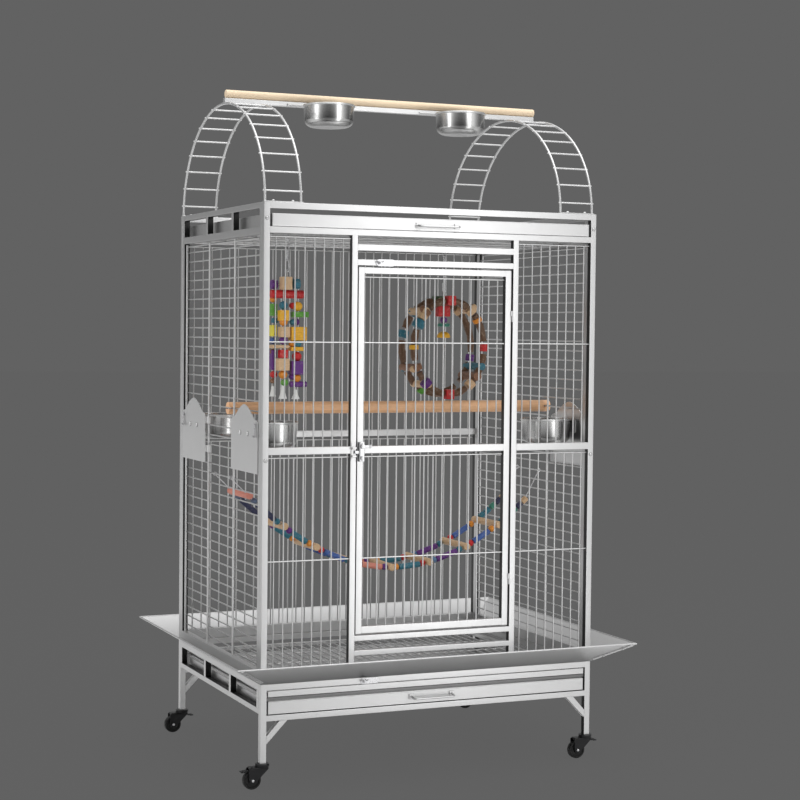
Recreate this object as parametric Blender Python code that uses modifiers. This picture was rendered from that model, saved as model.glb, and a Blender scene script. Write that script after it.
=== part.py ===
"""A parrot cage on casters with a play top: a welded bar cage on a base with two drawers.

Metres, +Z up, the front faces -Y and the casters stand on z = 0. Every piece that comes apart
from its neighbour is one object; pieces that only touch keep a gap of 0.3 mm.
"""

import math

import bmesh
import bpy
from mathutils import Matrix, Vector

# Overall sizes
HALF_W = 0.455  # outer face of the side tubes
HALF_D = 0.343  # outer face of the front and rear tubes
FOOT = 0.061  # height of a caster, so the underside of the legs
TUBE = 0.016  # square tube of the welded frames
FIT = 0.0003  # gap between pieces that touch
BAR = 0.0016  # half the thickness of a cage bar
PITCH = 0.025  # bars of the front and door
REAR_PITCH = 0.0254
ROW_PITCH = 0.0254  # horizontal bars of the sides
SHEET = 0.0012

# Heights above the floor
BASE_TOP = FOOT + 0.193
CAGE_FOOT = FOOT + 0.1948
CAGE_SILL = FOOT + 0.2225
MID_LO = FOOT + 0.748
MID_HI = FOOT + 0.766
BAND_LO = FOOT + 1.2825
BAND_HI = FOOT + 1.298
CAP_LO = FOOT + 1.341
CAP_HI = FOOT + 1.357
DOOR_LO = FOOT + 0.302
DOOR_HI = FOOT + 1.206
PERCH_Z = FOOT + 0.8505

# Faces that follow from the overall sizes
FRONT = -HALF_D
FRONT_IN = -HALF_D + TUBE
INNER = HALF_W - TUBE
SIDE_END = HALF_D - TUBE - FIT
POST_IN = SIDE_END - TUBE
ROD_X = HALF_W - 0.0075  # upright rods of the sides
ROD_R = 0.003
ROD_OUT = POST_IN - 0.0037
ROD_IN = ROD_OUT - 0.202
ROW_X = ROD_X - ROD_R - FIT - BAR

# Door
POST_L = -0.211
POST_R = 0.215
POST_L_OUT = POST_L - TUBE
POST_R_OUT = POST_R + TUBE
DOOR_L = POST_L + 0.0015
DOOR_R = POST_R - 0.0045
STILE = 0.017
DOOR_HOLE_L = DOOR_L + STILE
DOOR_HOLE_R = DOOR_R - STILE
HINGE_X = DOOR_R + 0.0023
HINGE_Y = FRONT - 0.0017

# Bowls
BOWL_R = 0.064
LIP_R = BOWL_R + 0.0035
RING_R = BOWL_R + 0.0022  # wire ring that the bowl's lip rests on
BOWL_H = 0.066
FEED_X = HALF_W - BOWL_R - 0.005
FEED_Y = POST_IN - 0.1017
FEED_RIM = FOOT + 0.823

# Casters
LEG_X = HALF_W - TUBE / 2
LEG_Y = HALF_D - TUBE / 2
WHEEL_R = 0.0225
TRAIL = 0.027

for old in list(bpy.data.objects):
    bpy.data.objects.remove(old)
CAGE = bpy.data.collections.new("parrot_cage")
bpy.context.scene.collection.children.link(CAGE)


def material(name, colour, metallic, roughness):
    """A plain Principled material."""
    made = bpy.data.materials.new(name)
    made.use_nodes = True
    shader = made.node_tree.nodes["Principled BSDF"]
    shader.inputs["Base Color"].default_value = (*colour, 1.0)
    shader.inputs["Metallic"].default_value = metallic
    shader.inputs["Roughness"].default_value = roughness
    return made


def closed(bm):
    """The bmesh as a mesh, welded and facing outward."""
    bmesh.ops.remove_doubles(bm, verts=bm.verts, dist=1e-6)
    bmesh.ops.recalc_face_normals(bm, faces=bm.faces)
    mesh = bpy.data.meshes.new("piece")
    bm.to_mesh(mesh)
    bm.free()
    return mesh


def evaluated(holder):
    """The mesh of an object with its modifiers or bevels applied; the object goes."""
    bpy.context.scene.collection.objects.link(holder)
    bpy.context.view_layer.update()
    graph = bpy.context.evaluated_depsgraph_get()
    mesh = bpy.data.meshes.new_from_object(holder.evaluated_get(graph), depsgraph=graph)
    bpy.data.objects.remove(holder)
    bm = bmesh.new()
    bm.from_mesh(mesh)
    return closed(bm)


def cube(lo, hi):
    """A box from its two corners."""
    bm = bmesh.new()
    bmesh.ops.create_cube(bm, size=1.0)
    size = [h - l for l, h in zip(lo, hi)]
    mid = [(h + l) / 2 for l, h in zip(lo, hi)]
    bmesh.ops.scale(bm, vec=size, verts=bm.verts)
    bmesh.ops.translate(bm, vec=mid, verts=bm.verts)
    return closed(bm)


def rod(start, end, radius, sides=8, turn=0.0):
    """A round bar between two points."""
    start, end = Vector(start), Vector(end)
    along = end - start
    bm = bmesh.new()
    bmesh.ops.create_cone(
        bm,
        cap_ends=True,
        segments=sides,
        radius1=radius,
        radius2=radius,
        depth=along.length,
        matrix=Matrix.Rotation(turn, 4, "Z"),
    )
    spin = Vector((0, 0, 1)).rotation_difference(along.normalized()).to_matrix().to_4x4()
    bm.transform(Matrix.Translation((start + end) / 2) @ spin)
    return closed(bm)


def ball(centre, radius, around=6, rings=4):
    """A bead."""
    bm = bmesh.new()
    bmesh.ops.create_uvsphere(bm, u_segments=around, v_segments=rings, radius=radius)
    bmesh.ops.translate(bm, vec=centre, verts=bm.verts)
    return closed(bm)


def curve_of(loops, cyclic, flat):
    """A curve object holding one poly spline for each loop."""
    data = bpy.data.curves.new("guide", "CURVE")
    data.dimensions = "2D" if flat else "3D"
    for loop in loops:
        spline = data.splines.new("POLY")
        spline.points.add(len(loop) - 1)
        for point, place in zip(spline.points, loop):
            point.co = (*place, 0.0, 1.0) if flat else (*place, 1.0)
        spline.use_cyclic_u = cyclic
    return data


def plate(axis, lo, hi, outline, holes=()):
    """A flat piece with holes, cut in the plane across axis and as thick as lo to hi."""
    data = curve_of([outline, *holes], True, True)
    data.fill_mode = "BOTH"
    data.extrude = (hi - lo) / 2
    mesh = evaluated(bpy.data.objects.new("guide", data))
    mid = (hi + lo) / 2
    if axis == "y":
        mesh.transform(Matrix.Translation((0, mid, 0)) @ Matrix.Rotation(math.pi / 2, 4, "X"))
    if axis == "x":
        swing = Matrix(((0, 0, 1, 0), (1, 0, 0, 0), (0, 1, 0, 0), (0, 0, 0, 1)))
        mesh.transform(Matrix.Translation((mid, 0, 0)) @ swing)
    if axis == "z":
        mesh.transform(Matrix.Translation((0, 0, mid)))
    return mesh


def wire(points, radius, fineness=0, loop=False):
    """A bent wire through the points."""
    data = curve_of([points], loop, False)
    data.bevel_depth = radius
    data.bevel_resolution = fineness
    data.use_fill_caps = not loop
    return evaluated(bpy.data.objects.new("guide", data))


def lathe(profile, steps, centre, loop=False):
    """A turned piece from (radius, height) pairs round an upright axis through centre."""
    mesh = bpy.data.meshes.new("guide")
    count = len(profile)
    edges = [(i, i + 1) for i in range(count - 1)]
    if loop:
        edges.append((count - 1, 0))
    mesh.from_pydata([(r, 0, z) for r, z in profile], edges, [])
    holder = bpy.data.objects.new("guide", mesh)
    screw = holder.modifiers.new("turn", "SCREW")
    screw.axis = "Z"
    screw.steps = steps
    screw.render_steps = steps
    screw.use_merge_vertices = True
    screw.merge_threshold = 0.00005
    turned = evaluated(holder)
    turned.transform(Matrix.Translation(centre))
    return turned


def block(x, y, z, w, d, h):
    """A block by its centre and sizes."""
    return cube((x - w / 2, y - d / 2, z - h / 2), (x + w / 2, y + d / 2, z + h / 2))


def rect(x0, x1, z0, z1):
    """The corners of a rectangle."""
    return [(x0, z0), (x1, z0), (x1, z1), (x0, z1)]


def gathered(meshes):
    """Several meshes as one mesh of several shells."""
    bm = bmesh.new()
    for mesh in meshes:
        bm.from_mesh(mesh)
    mesh = bpy.data.meshes.new("shells")
    bm.to_mesh(mesh)
    bm.free()
    return mesh


def boolean(base, others, operation):
    """The base joined with, or cut by, the others."""
    first = bpy.data.objects.new("first", base)
    second = bpy.data.objects.new("second", gathered(others))
    bpy.context.scene.collection.objects.link(second)
    step = first.modifiers.new("join", "BOOLEAN")
    step.operation = operation
    step.solver = "EXACT"
    step.use_self = operation == "UNION"
    step.object = second
    mesh = evaluated(first)
    bpy.data.objects.remove(second)
    return mesh


def fuse(base, *others):
    """Pieces that are welded or bolted together for good."""
    flat = []
    for other in others:
        flat.extend(other if isinstance(other, list) else [other])
    return boolean(base, flat, "UNION")


def cut(base, *others):
    """The base less the others."""
    return boolean(base, list(others), "DIFFERENCE")


def mirrored(mesh, x=1, y=1):
    """A copy mirrored left to right or front to rear."""
    bm = bmesh.new()
    bm.from_mesh(mesh)
    bm.transform(Matrix.Diagonal((x, y, 1, 1)))
    return closed(bm)


def piece(name, mesh, paint, origin=(0, 0, 0), smooth=0.6):
    """A finished piece, with its origin on its joint axis."""
    mesh.transform(Matrix.Translation(-Vector(origin)))
    mesh.name = name
    mesh.materials.clear()
    mesh.materials.append(paint)
    mesh.polygons.foreach_set("use_smooth", [True] * len(mesh.polygons))
    mesh.set_sharp_from_angle(angle=smooth)
    made = bpy.data.objects.new(name, mesh)
    made.location = origin
    CAGE.objects.link(made)
    return made


# Finishes
STEEL = material("satin_steel", (0.80, 0.80, 0.80), 1.0, 0.34)
BRIGHT = material("bright_steel", (0.72, 0.72, 0.73), 1.0, 0.22)
ZINC = material("zinc_fitting", (0.62, 0.62, 0.63), 1.0, 0.35)
PERCH = material("perch_wood", (0.70, 0.42, 0.22), 0.0, 0.55)
TOYS = material("toy_wood", (0.62, 0.36, 0.20), 0.0, 0.6)
BLACK = material("caster_black", (0.03, 0.03, 0.035), 0.0, 0.5)
TREAD = material("caster_wheel", (0.02, 0.02, 0.022), 0.0, 0.6)


# Base
def leg_outline():
    """Two legs, the apron rail between them and the corner braces, drawn from the front."""
    right = [
        (INNER, FOOT + 0.046),
        (INNER, FOOT),
        (HALF_W, FOOT),
        (HALF_W, BASE_TOP),
    ]
    brace = (INNER - 0.054, FOOT + 0.102)
    half = [brace, *right]
    return half + [(-x, z) for x, z in reversed(half)]


def brace_hole(side):
    """The triangle between leg, rail and brace."""
    return [
        (side * INNER, FOOT + 0.066),
        (side * INNER, FOOT + 0.102),
        (side * (INNER - 0.033), FOOT + 0.102),
    ]


base_windows = [rect(-INNER, INNER, FOOT + 0.117, FOOT + 0.177), brace_hole(1), brace_hole(-1)]
legs = plate("y", FRONT, FRONT_IN, leg_outline(), base_windows)
between = cube(
    (-INNER - 0.0006, FRONT + 0.005, FOOT + 0.1515),
    (INNER + 0.0006, FRONT + 0.012, FOOT + 0.159),
)
piece("base_front_frame", fuse(legs, between), STEEL)
rear_legs = plate("y", -FRONT_IN, -FRONT, leg_outline(), base_windows)
piece("base_rear_frame", rear_legs, STEEL)

GRATE_LO = FOOT + 0.1610
post = 0.0075
side_windows = [
    rect(-SIDE_END + 0.015, -0.105 - post, FOOT + 0.133, FOOT + 0.1765),
    rect(-0.105 + post, 0.105 - post, FOOT + 0.133, FOOT + 0.1765),
    rect(0.105 + post, SIDE_END - 0.015, FOOT + 0.133, FOOT + 0.1765),
]
side = plate(
    "x",
    -HALF_W,
    -INNER,
    rect(-SIDE_END, SIDE_END, FOOT + 0.119, FOOT + 0.1928),
    side_windows,
)
RUNNER_END = SIDE_END - 0.0117
RUNNER_IN = INNER - 0.0125
runners = [
    cube(
        (-INNER - 0.0006, -RUNNER_END, FOOT + 0.116),
        (-INNER + SHEET, RUNNER_END, FOOT + 0.128),
    ),
    cube(
        (-INNER - 0.0001, -RUNNER_END + 0.0005, FOOT + 0.1161),
        (-RUNNER_IN, RUNNER_END - 0.0005, FOOT + 0.1174),
    ),
    cube(
        (-INNER - 0.0005, -RUNNER_END - 0.0005, GRATE_LO - FIT - 0.0015),
        (-RUNNER_IN, RUNNER_END + 0.0005, GRATE_LO - FIT),
    ),
]
left_base = fuse(side, runners)
piece("base_right_side", mirrored(left_base, x=-1), STEEL)
piece("base_left_side", left_base, STEEL)


# Cage panels
def uprights(xs, y, lo, hi, r=BAR):
    """Vertical bars."""
    return [cube((x - r, y - r, lo), (x + r, y + r, hi)) for x in xs]


def cross_wire(x0, x1, y, z, r=BAR):
    """A horizontal bar across the front or rear."""
    return cube((x0, y - r, z - r), (x1, y + r, z + r))


def bar_field(xs, x0, x1, y, lo, hi, stiffener, toward):
    """One barred field: bars from the lower rail to a top wire, with a stiffening wire."""
    bite = 0.003
    top = hi - 0.0078
    made = uprights(xs, y, lo - bite, top)
    made.append(cross_wire(x0 - bite, x1 + bite, y, top, BAR + 0.0003))
    if stiffener:
        over = y + toward * (2 * BAR + FIT)
        made.append(cross_wire(x0 - bite, x1 + bite, over, stiffener))
    return made


BAR_Y = FRONT + TUBE / 2
BAR_LEFT = -INNER + 0.0172
BAR_RIGHT = INNER - 0.0158
CLEAR = 0.008  # least distance of a bar from the tube beside it
left_bars = [BAR_LEFT + PITCH * i for i in range(int((POST_L_OUT - BAR_LEFT) / PITCH) + 1)]
right_bars = [BAR_RIGHT - PITCH * i for i in range(int((BAR_RIGHT - POST_R_OUT) / PITCH) + 1)]
first_bar = math.ceil((DOOR_HOLE_L + CLEAR) / PITCH)
last_bar = math.floor((DOOR_HOLE_R - CLEAR) / PITCH)
door_bars = [PITCH * i for i in range(first_bar, last_bar + 1)]
high_wire = FOOT + 1.021
low_wire = FOOT + 0.489

front_holes = [
    rect(-INNER, INNER, BAND_HI, CAP_LO),
    rect(-INNER, POST_L_OUT, MID_HI, BAND_LO),
    rect(-INNER, POST_L_OUT, CAGE_SILL, MID_LO),
    rect(POST_R_OUT, INNER, MID_HI, BAND_LO),
    rect(POST_R_OUT, INNER, CAGE_SILL, MID_LO),
    rect(POST_L, POST_R, FOOT + 1.262, BAND_LO),
    rect(POST_L, POST_R, FOOT + 1.225, FOOT + 1.246),
    rect(POST_L, POST_R, FOOT + 0.298, FOOT + 1.210),
    rect(POST_L, POST_R, FOOT + 0.261, FOOT + 0.284),
    rect(POST_L, POST_R, CAGE_SILL, FOOT + 0.2475),
]
front = plate("y", FRONT, FRONT_IN, rect(-HALF_W, HALF_W, CAGE_FOOT, CAP_HI), front_holes)
front_bars = (
    bar_field(left_bars, -INNER, POST_L_OUT, BAR_Y, MID_HI, BAND_LO, high_wire, -1)
    + bar_field(left_bars, -INNER, POST_L_OUT, BAR_Y, CAGE_SILL, MID_LO, low_wire, -1)
    + bar_field(right_bars, POST_R_OUT, INNER, BAR_Y, MID_HI, BAND_LO, high_wire, -1)
    + bar_field(right_bars, POST_R_OUT, INNER, BAR_Y, CAGE_SILL, MID_LO, low_wire, -1)
)
corner_bolts = [
    rod((x, FRONT + 0.002, z), (x, FRONT - 0.0022, z), 0.0045, 8)
    for x in (-LEG_X, LEG_X)
    for z in (FOOT + 1.318, FOOT + 0.735)
]
keeper = [
    cube(
        (POST_L - 0.0145, FRONT - 0.0022, FOOT + 0.7325),
        (POST_L - 0.0015, FRONT + 0.001, FOOT + 0.7755),
    ),
    cube(
        (POST_L - 0.0141, FRONT - 0.009, FOOT + 0.7395),
        (POST_L - 0.0025, FRONT + 0.0008, FOOT + 0.7445),
    ),
    cube(
        (POST_L - 0.0141, FRONT - 0.009, FOOT + 0.7595),
        (POST_L - 0.0025, FRONT + 0.0008, FOOT + 0.7645),
    ),
]
HINGES = (FOOT + 0.42, FOOT + 1.09)
post_knuckles = []
for z in HINGES:
    post_knuckles.append(rod((HINGE_X, HINGE_Y, z - 0.014), (HINGE_X, HINGE_Y, z), 0.0021, 8))
    post_knuckles.append(
        rod((HINGE_X, HINGE_Y, z - 0.002), (HINGE_X, HINGE_Y, z + 0.0125), 0.0012, 8)
    )
    post_knuckles.append(
        cube(
            (HINGE_X, HINGE_Y - 0.0013, z - 0.0135),
            (HINGE_X + 0.0047, FRONT + 0.0007, z - 0.0005),
        )
    )
piece("front_panel", fuse(front, front_bars, corner_bolts, keeper, post_knuckles), STEEL)

half_count = math.floor(INNER / REAR_PITCH + 0.5)
rear_bars = [REAR_PITCH * (i + 0.5) for i in range(-half_count, half_count)]
rear = plate(
    "y",
    -FRONT_IN,
    -FRONT,
    rect(-HALF_W, HALF_W, CAGE_FOOT, CAP_HI),
    [
        rect(-INNER, INNER, BAND_HI, CAP_LO),
        rect(-INNER, INNER, MID_HI, BAND_LO),
        rect(-INNER, INNER, CAGE_SILL, MID_LO),
    ],
)
rear_wires = bar_field(rear_bars, -INNER, INNER, -BAR_Y, MID_HI, BAND_LO, 0, 1)
rear_wires += bar_field(rear_bars, -INNER, INNER, -BAR_Y, CAGE_SILL, MID_LO, 0, 1)
rear_bolts = [
    rod((x, -FRONT - 0.002, z), (x, -FRONT + 0.0022, z), 0.0045, 8)
    for x in (-LEG_X, LEG_X)
    for z in (FOOT + 1.318, FOOT + 0.735)
]
piece("rear_panel", fuse(rear, rear_wires, rear_bolts), STEEL)


def side_panel(rear_feeder):
    """The left panel: rods, rows of bars and the openings for the feeder doors."""
    frame = plate(
        "x",
        -HALF_W,
        -INNER,
        rect(-SIDE_END, SIDE_END, CAGE_FOOT, CAP_HI),
        [
            rect(-POST_IN, POST_IN, CAGE_SILL, FOOT + 1.280),
            rect(-POST_IN, -0.110, BAND_HI, FOOT + 1.3425),
            rect(-0.0935, 0.102, BAND_HI, FOOT + 1.3425),
            rect(0.117, POST_IN, BAND_HI, FOOT + 1.3425),
        ],
    )
    bite = 0.003
    added = []
    for y in (-ROD_OUT, -ROD_IN, ROD_IN, ROD_OUT):
        added.append(rod((-ROD_X, y, CAGE_SILL - bite), (-ROD_X, y, FOOT + 1.2772), ROD_R, 8))
    for i in range(-24, 17):
        z = PERCH_Z + ROW_PITCH * i
        low, high = -POST_IN - bite, POST_IN + bite
        x = -ROW_X
        if -6 < i < 0:
            low = -ROD_IN
            x = -ROD_X
            if rear_feeder:
                high = ROD_IN
        added.append(cube((x - BAR, low, z - BAR), (x + BAR, high, z + BAR)))
    added.append(
        cube(
            (-ROD_X - 0.0033, -POST_IN - bite, FOOT + 1.2705),
            (-ROD_X + 0.0033, POST_IN + bite, FOOT + 1.2738),
        )
    )
    lip_end = POST_IN - 0.0007
    added.append(
        cube((-INNER - 0.0006, -lip_end, FOOT + 1.2963), (-INNER + 0.012, lip_end, FOOT + 1.2978))
    )
    return fuse(frame, added)


piece("left_panel", side_panel(True), STEEL)
piece("right_panel", mirrored(side_panel(False), x=-1), STEEL)

# Roof grid under the top tray
ROOF_Z = FOOT + 1.284
HALF_IN = SIDE_END - 0.0005
roof = plate(
    "z",
    FOOT + 1.2815,
    FOOT + 1.2905,
    rect(-INNER + 0.0005, INNER - 0.0005, -HALF_IN, HALF_IN),
    [rect(-INNER + 0.0085, INNER - 0.0085, -HALF_IN + 0.008, HALF_IN - 0.008)],
)


def centred(reach):
    """Places at the bars' pitch on both sides of the middle, within reach of it."""
    count = math.floor(reach / ROW_PITCH)
    return [ROW_PITCH * i for i in range(-count, count + 1)]


roof_wires = [
    cube((x - BAR, -HALF_IN + 0.005, FOOT + 1.2859), (x + BAR, HALF_IN - 0.005, FOOT + 1.2891))
    for x in centred(INNER - 0.0085)
]
ROOF_RODS = (-0.2, -0.07, 0.02, 0.18)
roof_wires += [
    cube((-INNER + 0.005, y - BAR, ROOF_Z - BAR), (INNER - 0.005, y + BAR, ROOF_Z + BAR))
    for y in ROOF_RODS
]
piece("roof_grid", fuse(roof, roof_wires), STEEL)


# Aprons round the foot of the cage
APRON = [
    (-0.014, BASE_TOP + FIT),
    (0.0010, BASE_TOP + FIT),
    (0.0880, FOOT + 0.2450),
    (0.0880, FOOT + 0.2495),
    (0.0850, FOOT + 0.2495),
    (0.0850, FOOT + 0.2462),
    (0.0004, BASE_TOP + FIT + SHEET),
    (-0.014, BASE_TOP + FIT + SHEET),
]


def apron(half_run, half_depth, short):
    """The front apron: its bent section swept between two mitred ends."""
    bm = bmesh.new()
    ends = []
    for hand in (-1, 1):
        ring = []
        for out, z in APRON:
            ring.append(bm.verts.new((hand * (half_run + out - short), -(half_depth + out), z)))
        ends.append(ring)
    bm.faces.new(ends[0])
    bm.faces.new(list(reversed(ends[1])))
    count = len(APRON)
    for i in range(count):
        j = (i + 1) % count
        bm.faces.new((ends[0][i], ends[1][i], ends[1][j], ends[0][j]))
    return closed(bm)


def corner_strip(hand):
    """The joining strip and two screws under one end of the front apron."""
    inner = Vector((hand * (HALF_W + 0.0010), FRONT - 0.0010, BASE_TOP + FIT))
    outer = Vector((hand * (HALF_W + 0.088), FRONT - 0.088, FOOT + 0.2450))
    along = (outer - inner).normalized()
    level = Vector((-hand, 0, 0))
    down = level.cross(along).normalized()
    if down.z > 0:
        down = -down
    across = along.cross(down).normalized()
    if across.dot(level) < 0:
        across = -across
    length = (outer - inner).length
    basis = Matrix((along, across, down)).transposed().to_4x4()
    strip = cube((0.010, 0.0025, -0.0006), (length - 0.008, 0.0130, 0.0013))
    heads = [
        rod((s * length, 0.0078, 0.0005), (s * length, 0.0078, 0.0030), 0.0036, 6)
        for s in (0.30, 0.72)
    ]
    made = [strip, *heads]
    for mesh in made:
        mesh.transform(Matrix.Translation(inner) @ basis)
    return made


def whole(mesh):
    """The mesh turned the right way out again after a mirroring frame."""
    bm = bmesh.new()
    bm.from_mesh(mesh)
    return closed(bm)


strips = [whole(mesh) for hand in (-1, 1) for mesh in corner_strip(hand)]
front_apron = fuse(apron(HALF_W, HALF_D, 0.0), strips)
piece("apron_rear", mirrored(front_apron, y=-1), STEEL)
piece("apron_front", front_apron, STEEL)
side_apron = apron(HALF_D, HALF_W, 0.0004)
side_apron.transform(Matrix.Rotation(-math.pi / 2, 4, "Z"))
piece("apron_right", mirrored(side_apron, x=-1), STEEL)
piece("apron_left", side_apron, STEEL)


# Door and its fittings
DOOR_FIELD_LO = DOOR_LO + 0.018
DOOR_FIELD_HI = DOOR_HI - 0.016
door = plate(
    "y",
    FRONT,
    FRONT_IN,
    rect(DOOR_L, DOOR_R, DOOR_LO, DOOR_HI),
    [
        rect(DOOR_HOLE_L, DOOR_HOLE_R, DOOR_FIELD_LO, MID_LO),
        rect(DOOR_HOLE_L, DOOR_HOLE_R, MID_HI, DOOR_FIELD_HI),
    ],
)
door_span = (DOOR_HOLE_L, DOOR_HOLE_R, BAR_Y)
door_wires = bar_field(door_bars, *door_span, MID_HI, DOOR_FIELD_HI, high_wire, -1)
door_wires += bar_field(door_bars, *door_span, DOOR_FIELD_LO, MID_LO, low_wire, -1)
door_knuckles = []
for z in HINGES:
    sleeve = lathe(
        [(0.0016, 0.0), (0.0021, 0.0), (0.0021, 0.014), (0.0016, 0.014)],
        8,
        (HINGE_X, HINGE_Y, z + FIT),
        loop=True,
    )
    tab = cube(
        (HINGE_X - 0.0040, HINGE_Y - 0.0013, z + FIT + 0.0005),
        (HINGE_X - 0.00175, FRONT + 0.0007, z + 0.0135),
    )
    door_knuckles += [sleeve, tab]
piece(
    "door",
    fuse(door, door_wires, door_knuckles),
    STEEL,
    (HINGE_X, HINGE_Y, FOOT + 0.754),
)

LATCH_X = DOOR_L + 0.0091
latch_body = fuse(
    cube(
        (LATCH_X - 0.0069, FRONT - 0.0125, FOOT + 0.729),
        (LATCH_X + 0.0069, FRONT - FIT, FOOT + 0.777),
    ),
    cube(
        (LATCH_X - 0.0174, FRONT - 0.0085, FOOT + 0.748),
        (LATCH_X - 0.0056, FRONT - 0.0045, FOOT + 0.756),
    ),
    rod(
        (LATCH_X, FRONT - 0.010, FOOT + 0.738),
        (LATCH_X, FRONT - 0.0165, FOOT + 0.738),
        0.0046,
        10,
    ),
)
piece("door_latch_body", latch_body, ZINC)
LATCH = (LATCH_X, FRONT - 0.0128, FOOT + 0.7665)
latch_lever = fuse(
    rod(LATCH, (LATCH[0], LATCH[1] - 0.007, LATCH[2]), 0.0058, 10),
    cube(
        (LATCH[0], LATCH[1] - 0.0055, LATCH[2] - 0.0035),
        (LATCH[0] + 0.021, LATCH[1] - 0.0022, LATCH[2] + 0.0035),
    ),
    cube(
        (LATCH[0] + 0.017, LATCH[1] - 0.0075, LATCH[2] - 0.0045),
        (LATCH[0] + 0.0225, LATCH[1] - 0.0018, LATCH[2] + 0.0045),
    ),
)
piece("door_latch_lever", latch_lever, ZINC, LATCH)


def turn_clip(pivot, half):
    """A turn clip held by a wing nut: a rounded tongue that lies along its rail."""
    x, y, z = pivot
    tongue = [(x + 0.034 + half * math.cos(a), z + half * math.sin(a)) for a in ARC]
    heel = [(x - 0.001 - half * math.cos(a), z - half * math.sin(a)) for a in ARC]
    flat = plate("y", y - 0.0018, y, tongue + heel)
    hub = rod((x, y - 0.001, z), (x, y - 0.0085, z), 0.0036, 8)
    wings = [
        rod((x, y - 0.0055, z), (x + hand * 0.0085, y - 0.0085, z + 0.0035), 0.0014, 6)
        for hand in (-1, 1)
    ]
    stem = rod((x, y - 0.0016, z), (x, y - 0.0125, z), 0.0018, 6)
    return fuse(flat, hub, wings, stem)


ARC = [math.radians(t) for t in (-90, -54, -18, 18, 54, 90)]
DOOR_CLIP = (DOOR_L + 0.055, FRONT - FIT, FOOT + 1.2175)
BASE_CLIP = (DOOR_L + 0.0235, FRONT - FIT, FOOT + 0.1843)
piece("door_turn_clip", turn_clip(DOOR_CLIP, 0.0085), ZINC, DOOR_CLIP)
piece("base_turn_clip", turn_clip(BASE_CLIP, 0.0074), ZINC, BASE_CLIP)


# Trays, grate and handles
def pan(lo, hi, wall, floor):
    """An open tray."""
    inner = cube(
        (lo[0] + wall, lo[1] + wall, lo[2] + floor),
        (hi[0] - wall, hi[1] - wall, hi[2] + 0.01),
    )
    return cut(cube(lo, hi), inner)


def drawer_handle(x0, x1, y, z, drop):
    """A wire handle on two feet."""
    out = y - 0.019
    bow = wire(
        [(x0, y - 0.0008, z), (x0, out, z - drop), (x1, out, z - drop), (x1, y - 0.0008, z)],
        0.0026,
        1,
    )
    feet = [
        cube((x - 0.007, y - 0.0017, z - 0.0065), (x + 0.007, y - 0.0001, z + 0.0065))
        for x in (x0, x1)
    ]
    return fuse(feet[0], feet[1], bow)


TRAY_W = INNER - 0.0035
TRAY_BACK = SIDE_END - 0.0147
top_tray = pan(
    (-TRAY_W + 0.0013, FRONT + 0.0005, FOOT + 1.2985),
    (TRAY_W - 0.0013, SIDE_END - 0.001, FOOT + 1.3300),
    SHEET,
    SHEET,
)
piece("top_tray", top_tray, STEEL)
piece(
    "top_tray_handle",
    drawer_handle(-0.050, 0.056, FRONT + 0.0005 - FIT, FOOT + 1.3125, 0.002),
    STEEL,
)
litter = pan(
    (-TRAY_W, FRONT + 0.0015, FOOT + 0.1180),
    (TRAY_W, TRAY_BACK, FOOT + 0.1500),
    SHEET,
    SHEET,
)
piece("litter_tray", litter, STEEL)
piece(
    "litter_tray_handle",
    drawer_handle(-0.055, 0.056, FRONT + 0.0015 - FIT, FOOT + 0.1365, 0.004),
    STEEL,
)

GRATE_Y = FRONT + 0.0015
grate = plate(
    "z",
    GRATE_LO,
    GRATE_LO + 0.0100,
    rect(-TRAY_W + 0.001, TRAY_W - 0.001, GRATE_Y + 0.001, TRAY_BACK),
    [rect(-TRAY_W + 0.009, TRAY_W - 0.009, GRATE_Y + 0.012, TRAY_BACK - 0.008)],
)
grate_front = cube(
    (-TRAY_W, GRATE_Y, GRATE_LO - 0.0005),
    (TRAY_W, GRATE_Y + 0.003, GRATE_LO + 0.0145),
)
grate_wires = [
    cube(
        (x - BAR, GRATE_Y + 0.008, GRATE_LO + 0.0057),
        (x + BAR, TRAY_BACK - 0.004, GRATE_LO + 0.0089),
    )
    for x in centred(TRAY_W - 0.012)
]
grate_wires += [
    cube((-TRAY_W + 0.005, y - BAR, GRATE_LO + 0.0022), (TRAY_W - 0.005, y + BAR, GRATE_LO + 0.0054))
    for y in (-0.2, -0.08, 0.05, 0.18)
]
piece("grate_drawer", fuse(grate, grate_front, grate_wires), STEEL)


# Feeder doors with their bowls
PLATE_IN = -HALF_W - 0.0005
PLATE_OUT = -HALF_W - 0.0020
PLATE_MID = -POST_IN + 0.1002
SHOULDER = [
    (0.1015, 0.700),
    (0.1015, 0.820),
    (0.0950, 0.8295),
    (0.0800, 0.8325),
    (0.0550, 0.8360),
    (0.0360, 0.8440),
    (0.0220, 0.8560),
    (0.0080, 0.8665),
]


def bowl_at(x, y, rim, height, steps=18):
    """A steel bowl: straight wall, rounded foot and a turned-out lip."""
    foot = rim - height
    wall = 0.0011
    profile = [
        (0.0, foot),
        (BOWL_R - 0.022, foot),
        (BOWL_R - 0.0085, foot + 0.0050),
        (BOWL_R, foot + 0.0190),
        (BOWL_R, rim - 0.0018),
        (LIP_R, rim - 0.0018),
        (LIP_R, rim),
        (BOWL_R - wall, rim),
        (BOWL_R - wall, foot + 0.0195),
        (BOWL_R - 0.0225, foot + wall),
        (0.0, foot + wall),
    ]
    return lathe(profile, steps, (x, y, 0.0))


def bowl_ring(x, y, rim, steps=18):
    """The wire ring a bowl hangs in."""
    top = rim - 0.0018 - FIT
    points = [
        (
            x + RING_R * math.cos(2 * math.pi * i / steps),
            y + RING_R * math.sin(2 * math.pi * i / steps),
            top - 0.0016,
        )
        for i in range(steps)
    ]
    return wire(points, 0.0016, 0, True)


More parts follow.
